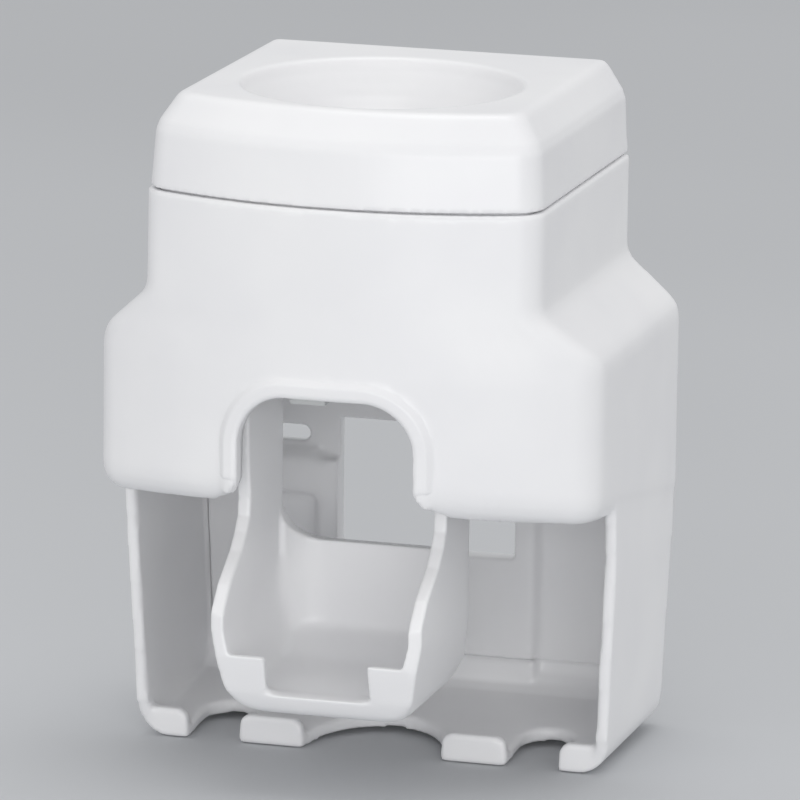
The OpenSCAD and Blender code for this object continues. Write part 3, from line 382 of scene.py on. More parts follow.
def screw_tree():
    """Pan-head screws with a cross recess and a threaded shank, one on each point of the input mesh."""
    tree, given = tree_with("Screws on points", [
        ("Head radius", "NodeSocketFloat", 0.0019), ("Head height", "NodeSocketFloat", 0.0012),
        ("Shank radius", "NodeSocketFloat", 0.001), ("Length", "NodeSocketFloat", 0.007),
        ("Pitch", "NodeSocketFloat", 0.0009), ("Recess width", "NodeSocketFloat", 0.0005),
        ("Material", "NodeSocketMaterial", None)])

    sizes = {title: given[title] for title in ("Head radius", "Head height", "Shank radius", "Length",
                                               "Pitch", "Recess width")}
    # Each size that is worked out from the inputs: operation, first size, second size or plain number
    for title, operation, first, second in (
            ("half head", "MULTIPLY", "Head height", 0.5),
            ("dome radius", "MULTIPLY", "Head radius", DOME_SPREAD),
            ("dome middle", "SUBTRACT", "dome radius", "half head"),
            ("recess reach", "MULTIPLY", "Head radius", RECESS_REACH),
            ("recess middle", "MULTIPLY", "Head height", RECESS_MIDDLE),
            ("core radius", "MULTIPLY", "Shank radius", CORE_SHARE),
            ("shank length", "SUBTRACT", "Length", "Head height"),
            ("half shank", "MULTIPLY", "shank length", 0.5),
            ("core middle", "ADD", "half shank", "Head height"),
            ("wire radius", "MULTIPLY", "Shank radius", RIDGE_SHARE),
            ("ridge radius", "SUBTRACT", "Shank radius", "wire radius"),
            ("left out", "MULTIPLY", "Pitch", THREAD_TRIM),
            ("ridge length", "SUBTRACT", "shank length", "left out"),
            ("ridge turns", "DIVIDE", "ridge length", "Pitch"),
            ("left out below", "MULTIPLY", "Pitch", THREAD_TRIM / 2),
            ("ridge start", "ADD", "Head height", "left out below")):
        if isinstance(second, float):
            made = add_node(tree, "ShaderNodeMath", {1: second}, {0: sizes[first]}, operation=operation)
        else:
            made = add_node(tree, "ShaderNodeMath", None, {0: sizes[first], 1: sizes[second]},
                            operation=operation)
        sizes[title] = made.outputs[0]

    def raised(shape, height):
        shift = add_node(tree, "ShaderNodeCombineXYZ", None, {"Z": sizes[height]})
        links = {"Geometry": shape.outputs["Mesh"], "Translation": shift.outputs[0]}
        return add_node(tree, "GeometryNodeTransform", None, links).outputs["Geometry"]

    # The head is a short cylinder under a wide sphere, which leaves a low dome
    barrel = add_node(tree, "GeometryNodeMeshCylinder", {"Vertices": 48},
                      {"Radius": sizes["Head radius"], "Depth": sizes["Head height"]})
    sphere = add_node(tree, "GeometryNodeMeshUVSphere", {"Segments": 64, "Rings": 48},
                      {"Radius": sizes["dome radius"]})
    dome = add_node(tree, "GeometryNodeMeshBoolean", operation="INTERSECT")
    for part in (barrel.outputs["Mesh"], raised(sphere, "dome middle")):
        tree.links.new(part, dome.inputs["Mesh 2"])
    # Two crossed bars cut the recess
    head = add_node(tree, "GeometryNodeMeshBoolean", None, {"Mesh 1": dome.outputs["Mesh"]},
                    operation="DIFFERENCE")
    for across, along in (("recess reach", "Recess width"), ("Recess width", "recess reach")):
        bar_size = add_node(tree, "ShaderNodeCombineXYZ", None,
                            {"X": sizes[across], "Y": sizes[along], "Z": sizes["Head height"]})
        bar = add_node(tree, "GeometryNodeMeshCube", None, {"Size": bar_size.outputs[0]})
        tree.links.new(raised(bar, "recess middle"), head.inputs["Mesh 2"])
    # The shank's core and the ridge that winds round it
    core = add_node(tree, "GeometryNodeMeshCylinder", {"Vertices": 32},
                    {"Radius": sizes["core radius"], "Depth": sizes["shank length"]})
    spiral = add_node(tree, "GeometryNodeCurveSpiral", {"Resolution": 20},
                      {"Rotations": sizes["ridge turns"], "Start Radius": sizes["ridge radius"],
                       "End Radius": sizes["ridge radius"], "Height": sizes["ridge length"]})
    wire = add_node(tree, "GeometryNodeCurvePrimitiveCircle", {"Resolution": 6},
                    {"Radius": sizes["wire radius"]})
    ridge = add_node(tree, "GeometryNodeCurveToMesh", {"Fill Caps": True},
                     {"Curve": spiral.outputs["Curve"], "Profile Curve": wire.outputs["Curve"]})
    whole = add_node(tree, "GeometryNodeJoinGeometry")
    for part, height in ((head, "half head"), (core, "core middle"), (ridge, "ridge start")):
        tree.links.new(raised(part, height), whole.inputs[0])
    turn = add_node(tree, "GeometryNodeInputNamedAttribute", {"Name": "turn"}, data_type="FLOAT_VECTOR")
    rotation = add_node(tree, "FunctionNodeEulerToRotation", None, {"Euler": turn.outputs["Attribute"]})
    points = add_node(tree, "GeometryNodeMeshToPoints", None, {"Mesh": given["Geometry"]})
    rows = add_node(tree, "GeometryNodeInstanceOnPoints", None,
                    {"Points": points.outputs["Points"], "Instance": whole.outputs[0],
                     "Rotation": rotation.outputs[0]})
    return finish_tree(tree, rows.outputs[0], given["Material"])


def wire_tree():
    """Round wire drawn along the input's path."""
    tree, given = tree_with("Wire along a path", [
        ("Wire radius", "NodeSocketFloat", 0.0004), ("Sides", "NodeSocketInt", 12),
        ("Material", "NodeSocketMaterial", None)])
    path = add_node(tree, "GeometryNodeMeshToCurve", None, {"Mesh": given["Geometry"]})
    ring = add_node(tree, "GeometryNodeCurvePrimitiveCircle", None,
                    {"Radius": given["Wire radius"], "Resolution": given["Sides"]})
    wire = add_node(tree, "GeometryNodeCurveToMesh", {"Fill Caps": True},
                    {"Curve": path.outputs["Curve"], "Profile Curve": ring.outputs["Curve"]})
    return finish_tree(tree, wire.outputs["Mesh"], given["Material"])


# The raised rim round the arch

# Millimetres in the modelling frame: the arch's outline and the bowed front that it is cut in
ARCH_HALF_W = 13.1
ARCH_LOW_Z = 42.6
ARCH_TOP_Z = 58.9
ARCH_CORNER = 7.6
ARCH_FOOT_R = 4.0
# Degrees round the foot's curve at which the rim starts, and points along each stretch of it
ARCH_FOOT_START = 38
ARCH_STEPS = 10
FRONT_R = 66.0
FRONT_DEPTH = 57.2
EDGE_ROLL = 3.8
# How far the rim stands out, how far its slope reaches and how deep its ends sink into the front
RIM_PROUD = 0.8
RIM_FOOT = 3.1
RIM_SINK = 0.8


def front_y(x, z):
    """The depth of the case's front at a place: bowed across, and rolled in at its lower edge."""
    drop = min(1.0, max(0.0, (ARCH_LOW_Z + EDGE_ROLL - z) / EDGE_ROLL))
    bowed = FRONT_R - FRONT_DEPTH - math.sqrt(FRONT_R ** 2 - x ** 2)
    return bowed + EDGE_ROLL * (1 - math.sqrt(1 - drop ** 2))


def arch_path():
    """Half of the arch's outline from its foot up: [x, z, way out in x and z, share of the rim]."""
    path = []
    steps = ARCH_STEPS
    foot_x, foot_z = ARCH_HALF_W + ARCH_FOOT_R, ARCH_LOW_Z + ARCH_FOOT_R
    for i in range(steps):
        turn = math.radians(ARCH_FOOT_START + (90 - ARCH_FOOT_START) * i / steps)
        out_x, out_z = math.sin(turn), math.cos(turn)
        path.append((-foot_x + ARCH_FOOT_R * out_x, foot_z - ARCH_FOOT_R * out_z, -out_x, out_z,
                     rise(0, steps, i)))
    corner_x, corner_z = ARCH_HALF_W - ARCH_CORNER, ARCH_TOP_Z - ARCH_CORNER
    for i in range(steps):
        path.append((-ARCH_HALF_W, foot_z + (corner_z - foot_z) * i / steps, -1.0, 0.0, 1.0))
    for i in range(2 * steps):
        turn = math.radians(90 * i / (2 * steps))
        out_x, out_z = math.cos(turn), math.sin(turn)
        path.append((-corner_x - ARCH_CORNER * out_x, corner_z + ARCH_CORNER * out_z, -out_x, out_z, 1.0))
    for i in range(steps):
        path.append((-corner_x * (1 - i / steps), ARCH_TOP_Z, 0.0, 1.0, 1.0))
    return path


def rim_profile():
    """The rim's section as [distance from the arch's edge, height over the front]."""
    # The inner face stands a hair inside the opening, and the root lies well behind the front
    inner, round_r, root_out = -0.06, 0.9, 1.2
    root, inner_start, outer_start = -2.4, -1.2, -0.6
    section = [(inner, root), (inner, inner_start)]
    section += [(inner + round_r * (1 - math.cos(a)), RIM_PROUD - round_r * (1 - math.sin(a)))
                for a in (math.radians(10 * i) for i in range(10))]
    # A flat top, then a slope that ends just under the front
    top_start, slope_start, slope_end, tuck, steps = 1.3, 1.8, RIM_FOOT + 0.1, 0.02, 14
    section += [(d, RIM_PROUD * (1 - rise(slope_start, RIM_FOOT, d)) - tuck)
                for d in (top_start + (slope_end - top_start) * i / steps for i in range(steps + 1))]
    return section + [(RIM_FOOT, outer_start), (root_out, root)]


def rim_rings():
    """The rim's sections along the whole arch, laid on the bowed front."""
    rings = []
    for x, z, out_x, out_z, share in arch_path():
        rings.append([(x + out_x * d, z + out_z * d, h * share - RIM_SINK * (1 - share))
                      for d, h in rim_profile()])
    rings += [[(-x, z, h) for x, z, h in ring] for ring in reversed(rings)]
    return [[(x, front_y(x, z) - h, z) for x, z, h in ring] for ring in rings]


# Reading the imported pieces

# Points this close to an end of a screw belong to that end
SCREW_END = 0.3 * MM


def islands(node):
    """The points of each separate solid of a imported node, in the mesh's own order on every run."""
    bm = bmesh.new()
    bm.from_mesh(welded(node))
    seen, found = set(), []
    for start in bm.verts:
        if start in seen:
            continue
        seen.add(start)
        stack, group = [start], []
        while stack:
            vert = stack.pop()
            group.append(vert.co.copy())
            for edge in vert.link_edges:
                other = edge.other_vert(vert)
                if other not in seen:
                    seen.add(other)
                    stack.append(other)
        found.append(group)
    bm.free()
    return found


def screw_place(points):
    """Where a screw's head face is, the way its shank points, its length and its head's radius."""
    low = Vector([min(p[i] for p in points) for i in range(3)])
    high = Vector([max(p[i] for p in points) for i in range(3)])
    middle, size = (low + high) / 2, high - low
    axis = max(range(3), key=lambda i: size[i])
    side = (axis + 1) % 3

    def spread(end):
        return max(abs(p[side] - middle[side]) for p in points if abs(p[axis] - end) < SCREW_END)

    head_low = spread(low[axis]) > spread(high[axis])
    way = Vector([0, 0, 0])
    way[axis] = 1 if head_low else -1
    face = middle.copy()
    face[axis] = low[axis] if head_low else high[axis]
    return face, way, size[axis], size[side] / 2


# Sizes and colours that can be changed

def length_property(name, description, default_mm, low_mm, high_mm):
    """A length that is written in millimetres and kept in metres."""
    return FloatProperty(name=name, description=description, default=default_mm * MM, min=low_mm * MM,
                         max=high_mm * MM, subtype="DISTANCE", unit="LENGTH", precision=5)


def power_property(name, description, default):
    """A lamp's power in watts."""
    return FloatProperty(name=name, description=description, default=default, min=0.0, max=100.0,
                         unit="POWER")


class DispenserFinish(bpy.types.PropertyGroup):
    """Colour and gloss of the moulded case."""
    abs_light: StringProperty(name="ABS colour", description="Brighter tone of the case's plastic, sRGB hex",
                              default="#f6f6f7")
    abs_dark: StringProperty(name="ABS shade", description="Duller tone of the case's plastic, sRGB hex",
                             default="#f0f0f2")
    abs_roughness: FloatProperty(name="ABS roughness", description="Roughness of the case's satin surface",
                                 default=0.32, min=0.05, max=1.0)


class DispenserSkin(bpy.types.PropertyGroup):
    """How finely the moulded pieces are drawn and how far their edges are rounded."""
    case_voxel: length_property("Case detail", "Size of the finest detail on the case", 0.57, 0.2, 2)
    lid_voxel: length_property("Lid and back plate detail",
                               "Size of the finest detail on the lid and the back plate", 0.42, 0.2, 2)
    small_voxel: length_property("Lever detail", "Size of the finest detail on the lever", 0.34, 0.2, 2)
    ease_rounds: IntProperty(name="Edge rounding", description="Rounds of smoothing that soften the edges",
                             default=4, min=0, max=40)
    foot_rounds: IntProperty(name="Foot rounding", description="Rounds of smoothing at the arch's feet",
                             default=16, min=0, max=100)
    bowl_rounds: IntProperty(name="Bowl rounding", description="Rounds of smoothing inside the scoop",
                             default=150, min=0, max=400)
    panel_rounds: IntProperty(name="Panel rounding", description="Rounds of smoothing on the raised panel",
                              default=40, min=0, max=400)


class DispenserPump(bpy.types.PropertyGroup):
    """Sizes of the pump's soft and wound pieces."""
    wire_radius: length_property("Spring wire radius", "Radius of the return springs' wire", 0.4, 0.2, 0.8)
    tube_wall: length_property("Tube wall", "Wall of the squeeze tube", 1.5, 0.8, 3)


class DispenserScrews(bpy.types.PropertyGroup):
    """Sizes of the tapping screws."""
    head_height: length_property("Head height", "Height of a screw's pan head", 1.2, 0.5, 3)
    shank_radius: length_property("Shank radius", "Radius over the thread", 1.0, 0.5, 3)
    pitch: length_property("Thread pitch", "Distance from one thread to the next", 0.9, 0.4, 2)


class DispenserStage(bpy.types.PropertyGroup):
    """The floor and the lights."""
    floor_colour: StringProperty(name="Floor colour", description="Colour of the floor, sRGB hex",
                                 default="#c3c5c8")
    backdrop_colour: StringProperty(name="Backdrop colour", description="Colour behind the object, sRGB hex",
                                    default="#c9cbce")
    key_power: power_property("Key light", "Power of the large light at the front left", 0.3)
    front_power: power_property("Front light", "Power of the low light in front", 3.2)
    top_power: power_property("Top light", "Power of the light overhead", 1.3)


# Places on the moulded pieces

# Millimetres in the modelling frame
NECK_RIM_Z = 86.2
SCOOP_IN_HALF_W = 13.7
SCOOP_IN_FRONT = -58.0
SCOOP_IN_BACK = -30.0
SCOOP_BACK_TOP = 31.7
PLATE_FRONT = -2.2
PLATE_LOW_Z = 9.3
PANEL_TOP_Z = 37.4
WINDOW_HALF_W = 13.8
WINDOW_LOW_Z = 24.3
# The front edges of the scoop's sides slant back from this height up, by so much for each millimetre
SCOOP_SLANT_Z = 25.5
SCOOP_SLANT = 1.15
# Each of these pairs says where a change starts and where it is full
NECK_ZONE = (NECK_RIM_Z - 1.6, NECK_RIM_Z - 0.6)
BAND_ZONE = (NECK_RIM_Z + 0.9, NECK_RIM_Z + 1.9)
PLATE_ZONE = (PLATE_LOW_Z + 0.6, PLATE_LOW_Z + 1.4)
FOOT_FROM_ARCH = (12.4, 14)
FOOT_FROM_SIDE = (20.5, 18.5)
FOOT_FROM_BACK = (-49, -51)
FOOT_FROM_ABOVE = (50, 47)
BOWL_FROM_EDGE = (1.2, 4.0)
BOWL_FROM_TOP = (SCOOP_BACK_TOP - 1, SCOOP_BACK_TOP - 4.5)
PANEL_BESIDE = (WINDOW_HALF_W + 1.2, WINDOW_HALF_W + 2.2)
PANEL_BELOW = (WINDOW_LOW_Z - 1.2, WINDOW_LOW_Z - 2.4)
PANEL_FROM_ABOVE = (PANEL_TOP_Z + 1.2, PANEL_TOP_Z + 0.4)
PLATE_DROP_ZONE = (PLATE_LOW_Z + 0.5, PLATE_LOW_Z + 1.5)
# How far the back plate's lower edge reaches down and forward
PLATE_DROP = 0.4
PLATE_PUSH = 0.05
# Share of the rounding that the edges along the lid's seam are spared
SEAM_SPARED = 0.6
# Rounds of smoothing that the lever gets on top of the other pieces' number
LEVER_EXTRA_ROUNDS = 2


def case_share(x, y, z):
    """How much the case's edges are rounded: the neck's rim is finer, where it meets the lid."""
    return 1 - SEAM_SPARED * rise(*NECK_ZONE, z)


def lid_share(x, y, z):
    """How much the lid's edges are rounded: its lower edge is finer, where it meets the neck."""
    return 1 - SEAM_SPARED + SEAM_SPARED * rise(*BAND_ZONE, z)


def plate_share(x, y, z):
    """How much the back plate's edges are rounded: all but the lower one, which stays sharp."""
    return rise(*PLATE_ZONE, z)


def foot_share(x, y, z):
    """How much the case is rounded off where the arch's rim runs out into the skirt's lower edge."""
    beside = rise(*FOOT_FROM_ARCH, abs(x)) * rise(*FOOT_FROM_SIDE, abs(x))
    return beside * rise(*FOOT_FROM_BACK, y) * rise(*FOOT_FROM_ABOVE, z)


def bowl_share(x, y, z):
    """How much the inside of the scoop is rounded off: all of the bowl, and nothing near its rims."""
    margin, front_wall = 0.4, 2
    inside = abs(x) < SCOOP_IN_HALF_W + margin and SCOOP_IN_FRONT - margin < y < SCOOP_IN_BACK + margin
    if not inside:
        return 0.0
    edge_y = SCOOP_IN_FRONT - front_wall + SCOOP_SLANT * max(0.0, z - SCOOP_SLANT_Z)
    return rise(*BOWL_FROM_EDGE, y - edge_y) * rise(*BOWL_FROM_TOP, z)


def panel_share(x, y, z):
    """How much the front of the back plate is rounded off, away from its window and slots."""
    margin = 0.3
    if y > PLATE_FRONT + margin:
        return 0.0
    away = max(rise(*PANEL_BESIDE, abs(x)), rise(*PANEL_BELOW, z))
    return away * rise(*PANEL_FROM_ABOVE, z)


# Operators

class PieceOperator:
    """Makes one piece of the dispenser."""
    bl_options = {"REGISTER", "UNDO"}


class DISPENSER_OT_case(PieceOperator, bpy.types.Operator):
    """Moulded case with its neck, shoulders, arch and toothbrush rests"""
    bl_idname = "dispenser.case"
    bl_label = "Case"

    def execute(self, context):
        skin = context.scene.dispenser_skin
        case = moulded_copy("housing", "case_shell", skin.case_voxel, skin.ease_rounds, case_share)
        soften(case, skin.foot_rounds, foot_share)
        settle(case, "shell_white", "shell", ["housing"])
        rim = surface_of("arch_rim", rim_rings(), closed=False)
        settle(rim, "shell_white", "shell")
        return {"FINISHED"}


class DISPENSER_OT_lid(PieceOperator, bpy.types.Operator):
    """Lift-off lid with its round dish"""
    bl_idname = "dispenser.lid"
    bl_label = "Lid"

    def execute(self, context):
        skin = context.scene.dispenser_skin
        lid = moulded_copy("lid", "lid_cover", skin.lid_voxel, skin.ease_rounds, lid_share)
        settle(lid, "shell_white", "lid", ["lid"])
        return {"FINISHED"}


class DISPENSER_OT_lever(PieceOperator, bpy.types.Operator):
    """Lever whose scoop a toothbrush pushes"""
    bl_idname = "dispenser.lever"
    bl_label = "Lever"

    def execute(self, context):
        skin = context.scene.dispenser_skin
        lever = moulded_copy("lever", "scoop_lever", skin.small_voxel, skin.ease_rounds + LEVER_EXTRA_ROUNDS)
        soften(lever, skin.bowl_rounds, bowl_share)
        settle(lever, "shell_white", "lever", ["lever"])
        return {"FINISHED"}


class DISPENSER_OT_back_plate(PieceOperator, bpy.types.Operator):
    """Back plate with its window, hanging slots and raised panel"""
    bl_idname = "dispenser.back_plate"
    bl_label = "Back plate"

    def execute(self, context):
        skin = context.scene.dispenser_skin
        plate = moulded_copy("back_plate", "rear_panel", skin.lid_voxel, skin.ease_rounds, plate_share)
        soften(plate, skin.panel_rounds, panel_share)
        # The lower edge reaches down into the cove, so that no gap shows in front
        for vert in plate.data.vertices:
            low = 1 - rise(*PLATE_DROP_ZONE, measured(vert.co)[2])
            vert.co.z -= PLATE_DROP * MM * low
            if vert.co.y < PLATE_FRONT * MM / 2:
                vert.co.y -= PLATE_PUSH * MM * low
        settle(plate, "shell_white", "shell", ["back_plate"])
        return {"FINISHED"}


class DISPENSER_OT_inner_parts(PieceOperator, bpy.types.Operator):
    """Deck, collar, pump, nozzle, squeeze bar and shaft inside the case"""
    bl_idname = "dispenser.inner_parts"
    bl_label = "Inner parts"

    def execute(self, context):
        slots = {part["node"]: part["material_slot"] for part in frame["record"]["subparts"]}
        for name in ("chassis", "collar_ring", "pump_body", "nozzle_cap", "squeeze_bar", "tube_collar",
                     "inlet_valve", "outlet_valve", "pivot_shaft", "shaft_clips"):
            coat(frame["nodes"][name], slots[name])
        return {"FINISHED"}


# Degrees that the first screw's cross recess is turned, and each next one's more
FIRST_TURN = 25
NEXT_TURN = 37


class DISPENSER_OT_screws(PieceOperator, bpy.types.Operator):
    """Tapping screws of the back plate, the deck, the collar ring and the pump"""
    bl_idname = "dispenser.screws"
    bl_label = "Screws"

    def execute(self, context):
        sizes = context.scene.dispenser_screws
        tree = screw_tree()
        for node, name in (("back_screws", "rear_screw_set"), ("deck_screws", "deck_screw_set"),
                           ("ring_screws", "ring_screw_set"), ("pump_screws", "pump_screw_set")):
            places = [screw_place(points) for points in islands(node)]
            mesh = bpy.data.meshes.new(name)
            mesh.from_pydata([face for face, _, _, _ in places], [], [])
            turns = mesh.attributes.new("turn", "FLOAT_VECTOR", "POINT")
            for i, (_, way, _, _) in enumerate(places):
                # A different turn of each cross recess, as a driver leaves them
                spin = Matrix.Rotation(math.radians(FIRST_TURN + NEXT_TURN * i), 4, "Z")
                turns.data[i].vector = (way.to_track_quat("Z", "Y").to_matrix().to_4x4() @ spin).to_euler()
            _, _, length, head_r = places[0]
            screws = grown(link(bpy.data.objects.new(name, mesh)), tree, {
                "Head radius": head_r, "Head height": sizes.head_height,
                "Shank radius": sizes.shank_radius, "Length": length, "Pitch": sizes.pitch,
                "Recess width": RECESS_WIDTH * head_r, "Material": finish_of("steel")})
            settle(screws, "steel", "shell", [node])
        return {"FINISHED"}


# The springs round the pivot shaft: millimetres in the modelling frame, and degrees
PIVOT_Y = -41.0
PIVOT_Z = 74.0
SPRING_X = 9.0
SPRING_L = 3.9
SPRING_TURNS = 3
SPRING_COIL_R = 3.1
SPRING_TOP_Z = 78.6
LEG_SLANT = 14.6
LEG_L = 12.5
# Points along each turn of a spring, and sides of its wire
TURN_STEPS = 28
WIRE_SIDES = 12


def spring_path():
    """One spring: the upper leg stands under the deck, the coil winds on the shaft, the other leg slants."""
    path = [(SPRING_X, PIVOT_Y + SPRING_COIL_R, SPRING_TOP_Z)]
    for i in range(SPRING_TURNS * TURN_STEPS + 1):
        turn = math.radians(360 * i / TURN_STEPS)
        path.append((SPRING_X + SPRING_L * i / (SPRING_TURNS * TURN_STEPS),
                     PIVOT_Y + SPRING_COIL_R * math.cos(turn), PIVOT_Z - SPRING_COIL_R * math.sin(turn)))
    slant = math.radians(LEG_SLANT)
    return path + [(SPRING_X + SPRING_L, PIVOT_Y + SPRING_COIL_R + LEG_L * math.sin(slant),
                    PIVOT_Z - LEG_L * math.cos(slant))]


class DISPENSER_OT_springs(PieceOperator, bpy.types.Operator):
    """Torsion springs that bring the lever back"""
    bl_idname = "dispenser.springs"
    bl_label = "Return springs"

    def execute(self, context):
        path = spring_path()
        points = [placed(side * x, y, z) for side in (1, -1) for x, y, z in path]
        edges = [(i, i + 1) for i in range(len(points) - 1) if i != len(path) - 1]
        mesh = bpy.data.meshes.new("lever_springs")
        mesh.from_pydata(points, edges, [])
        springs = grown(link(bpy.data.objects.new("lever_springs", mesh)), wire_tree(), {
            "Wire radius": context.scene.dispenser_pump.wire_radius, "Sides": WIRE_SIDES,
            "Material": finish_of("spring_steel")})
        springs.data.shade_smooth()
        coat(springs, "spring_steel")
        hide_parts("return_spring")
        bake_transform(springs)
        return {"FINISHED"}


# The squeeze tube: the beads that seat on the valves, and how far the waist between them draws in
BEAD_L = 1.6
BEAD_START = 0.3
WAIST_OUTSIDE = 0.25
WAIST_INSIDE = 0.1
TUBE_STEPS = 16
TUBE_SIDES = 72


class DISPENSER_OT_soft_tube(PieceOperator, bpy.types.Operator):
    """Silicone tube that the squeeze bar presses"""
    bl_idname = "dispenser.soft_tube"
    bl_label = "Squeeze tube"

    def execute(self, context):
        low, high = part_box("squeeze_tube")
        radius = (high.x - low.x) / 2 / MM
        low_z, high_z = (low.z - BASE_Z) / MM, (high.z - BASE_Z) / MM
        centre_y = (low.y + high.y) / 2 / MM
        inner_r = radius - context.scene.dispenser_pump.tube_wall / MM
        # A thin waist between two beads
        heights = [low_z + (high_z - low_z) * i / TUBE_STEPS for i in range(TUBE_STEPS + 1)]
        section = [(radius - WAIST_OUTSIDE * rise(BEAD_START, BEAD_L, min(z - low_z, high_z - z)), z)
                   for z in heights]
        section += [(inner_r + WAIST_INSIDE * rise(0, BEAD_L, min(z - low_z, high_z - z)), z)
                    for z in reversed(heights)]
        rings = [[(r * math.cos(a), centre_y + r * math.sin(a), z) for r, z in section]
                 for a in (2 * math.pi * i / TUBE_SIDES for i in range(TUBE_SIDES))]
        tube = surface_of("soft_pump_tube", rings, closed=True)
        settle(tube, "silicone", "shell", ["squeeze_tube"])
        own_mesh(tube)
        return {"FINISHED"}


# The camera that fits the photograph: angles in degrees, lengths in millimetres, the rest in pixels
PHOTO_SIDE = 800
CAMERA_AZIMUTH = 16.28
CAMERA_HEIGHT = 12.76
CAMERA_ROLL = 0.75
CAMERA_FOCAL_PX = 7639.5
CAMERA_DISTANCE = 1109.85
CAMERA_SENSOR = 36.0
AIM_POINT = (0.0, -30.0, 50.0)
AIM_PIXEL = (376.93, 421.74)
# Metres: how near and how far the camera sees, how far the floor reaches and where the lamps aim
CLIP_NEAR, CLIP_FAR = 0.05, 20.0
FLOOR_REACH = 3.0
LAMP_AIM = (0, -30 * MM, 10 * MM)
# A hair under the feet, so that floor and feet are not in one plane
FLOOR_DROP = 0.02 * MM
FLOOR_PATCH_MM = 300.0
FLOOR_ROUGHNESS = 0.85
WORLD_STRENGTH = 0.68


def camera_matrix():
    """The camera's place: it looks at the aim point, which shows at the aim pixel."""
    a, e, roll = (math.radians(v) for v in (CAMERA_AZIMUTH, CAMERA_HEIGHT, CAMERA_ROLL))
    back = Vector((math.sin(a) * math.cos(e), -math.cos(a) * math.cos(e), math.sin(e)))
    level = Vector((math.cos(a), math.sin(a), 0))
    upright = back.cross(level)
    right = level * math.cos(roll) + upright * math.sin(roll)
    up = upright * math.cos(roll) - level * math.sin(roll)
    per_px = CAMERA_DISTANCE / CAMERA_FOCAL_PX
    aim = Vector(AIM_POINT) + right * (PHOTO_SIDE / 2 - AIM_PIXEL[0]) * per_px
    aim = aim + up * (AIM_PIXEL[1] - PHOTO_SIDE / 2) * per_px
    turn = Matrix((right, up, back)).transposed().to_4x4()
    return Matrix.Translation(placed(*(aim + back * CAMERA_DISTANCE))) @ turn


def lay_floor(stage):
    """The plain pale floor."""
    z = CAD_BOX[0].z - FLOOR_DROP
    mesh = bpy.data.meshes.new("floor")
    corners = [(x * FLOOR_REACH, y * FLOOR_REACH, z) for x, y in ((-1, -1), (1, -1), (1, 1), (-1, 1))]
    mesh.from_pydata(corners, [], [(0, 1, 2, 3)])
    floor = link(bpy.data.objects.new("floor", mesh))
    # Matt studio paint: pale grey, with a faint drift in tone and no shine
    material, tree, shader, place = new_material("Painted studio floor")
    tint(tree, shader, place, FLOOR_PATCH_MM, stage.floor_colour, stage.backdrop_colour)
    shader.inputs["Roughness"].default_value = FLOOR_ROUGHNESS
    floor.data.materials.append(material)


def light_world(scene, stage):
    """A plain pale backdrop for the camera and for reflections, and a soft light for the rest."""
    world = bpy.data.worlds.new("Studio")
    scene.world = world
    world.use_nodes = True
    tree = world.node_tree
    tree.nodes.clear()
    rays = add_node(tree, "ShaderNodeLightPath").outputs
    seen = add_node(tree, "ShaderNodeMath", None,
                    {0: rays["Is Camera Ray"], 1: rays["Is Glossy Ray"]}, operation="MAXIMUM")
    shown = add_node(tree, "ShaderNodeBackground",
                     {"Color": linear(stage.backdrop_colour), "Strength": 1.0})
    light = add_node(tree, "ShaderNodeBackground",
                     {"Color": linear("#ffffff"), "Strength": WORLD_STRENGTH})
    mixed = add_node(tree, "ShaderNodeMixShader", None,
                     {0: seen.outputs[0], 1: light.outputs[0], 2: shown.outputs[0]})
    add_node(tree, "ShaderNodeOutputWorld", None, {"Surface": mixed.outputs[0]})


def hang_lamps(stage):
    """Three wide lamps that aim at the object: place, width and height in metres, and power."""
    for name, place, width, height, power in (
            ("Key", (-0.5, -0.75, 0.6), 0.5, 0.5, stage.key_power),
            ("Front", (0.35, -1.0, 0.16), 0.9, 0.38, stage.front_power),
            ("Top", (0.05, 0.0, 0.8), 0.5, 0.5, stage.top_power)):
        lamp = bpy.data.lights.new(name, "AREA")
        lamp.shape = "RECTANGLE"
        lamp.size, lamp.size_y = width, height
        lamp.energy = power
        source = link(bpy.data.objects.new(name, lamp))
        source.location = place
        aim = Vector(LAMP_AIM) - source.location
        source.rotation_euler = aim.to_track_quat("-Z", "Y").to_euler()


def set_camera(scene):
    """The camera at the photograph's angle."""
    camera = bpy.data.cameras.new("Camera")
    camera.sensor_width = CAMERA_SENSOR
    camera.lens = CAMERA_FOCAL_PX / PHOTO_SIDE * camera.sensor_width
    camera.clip_start, camera.clip_end = CLIP_NEAR, CLIP_FAR
    eye = link(bpy.data.objects.new("Camera", camera))
    eye.matrix_world = camera_matrix()
    scene.camera = eye


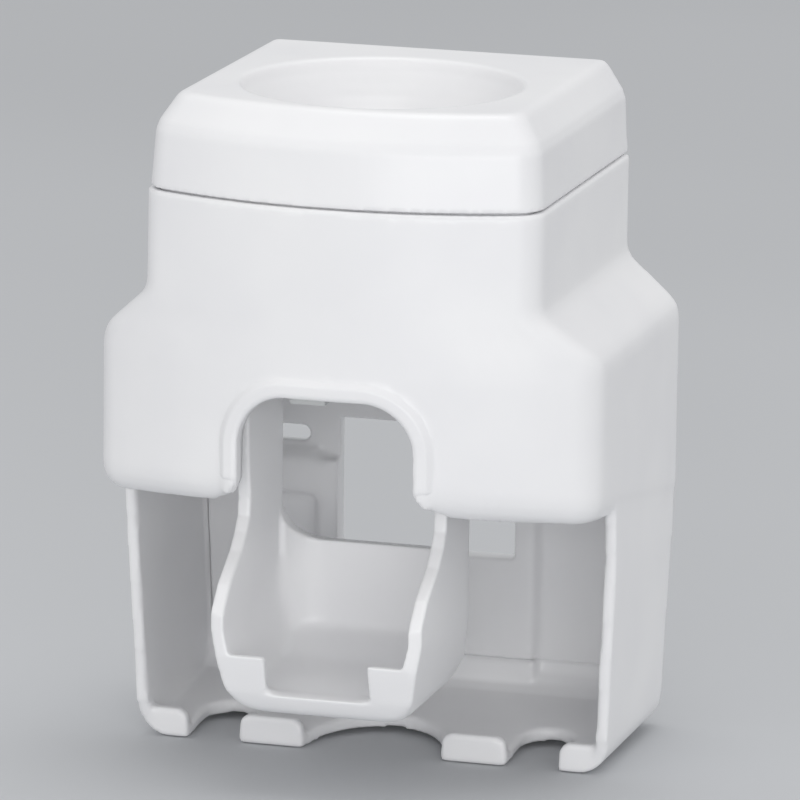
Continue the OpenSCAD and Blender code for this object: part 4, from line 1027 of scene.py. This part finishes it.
class DISPENSER_OT_stage(PieceOperator, bpy.types.Operator):
    """Floor, backdrop, lights and camera"""
    bl_idname = "dispenser.stage"
    bl_label = "Stage"

    def execute(self, context):
        scene = context.scene
        stage = scene.dispenser_stage
        lay_floor(stage)
        light_world(scene, stage)
        hang_lamps(stage)
        set_camera(scene)
        scene.view_settings.view_transform = "Standard"
        return {"FINISHED"}


OPERATORS = (DISPENSER_OT_case, DISPENSER_OT_lid, DISPENSER_OT_lever, DISPENSER_OT_back_plate,
             DISPENSER_OT_inner_parts, DISPENSER_OT_springs, DISPENSER_OT_soft_tube, DISPENSER_OT_screws,
             DISPENSER_OT_stage)
SETTINGS = {"dispenser_finish": DispenserFinish, "dispenser_skin": DispenserSkin,
            "dispenser_pump": DispenserPump, "dispenser_screws": DispenserScrews,
            "dispenser_stage": DispenserStage}


class DISPENSER_PT_panel(bpy.types.Panel):
    """Lists the pieces and their sizes"""
    bl_idname = "DISPENSER_PT_panel"
    bl_label = "Toothpaste dispenser"
    bl_space_type = "VIEW_3D"
    bl_region_type = "UI"
    bl_category = "Dispenser"

    def draw(self, context):
        for name in SETTINGS:
            box = self.layout.box()
            group = getattr(context.scene, name)
            for key in group.bl_rna.properties.keys():
                if key not in ("rna_type", "name"):
                    box.prop(group, key)
        for operator in OPERATORS:
            self.layout.operator(operator.bl_idname)


def register():
    for group in SETTINGS.values():
        bpy.utils.register_class(group)
    for name, group in SETTINGS.items():
        setattr(bpy.types.Scene, name, PointerProperty(type=group))
    for operator in OPERATORS:
        bpy.utils.register_class(operator)
    bpy.utils.register_class(DISPENSER_PT_panel)


def unregister():
    bpy.utils.unregister_class(DISPENSER_PT_panel)
    for operator in reversed(OPERATORS):
        bpy.utils.unregister_class(operator)
    for name, group in SETTINGS.items():
        delattr(bpy.types.Scene, name)
        bpy.utils.unregister_class(group)


def main():
    register()
    bpy.ops.dispenser.case()
    bpy.ops.dispenser.lid()
    bpy.ops.dispenser.lever()
    bpy.ops.dispenser.back_plate()
    bpy.ops.dispenser.inner_parts()
    bpy.ops.dispenser.springs()
    bpy.ops.dispenser.soft_tube()
    bpy.ops.dispenser.screws()
    bpy.ops.dispenser.stage()


if __name__ == "__main__":
    main()
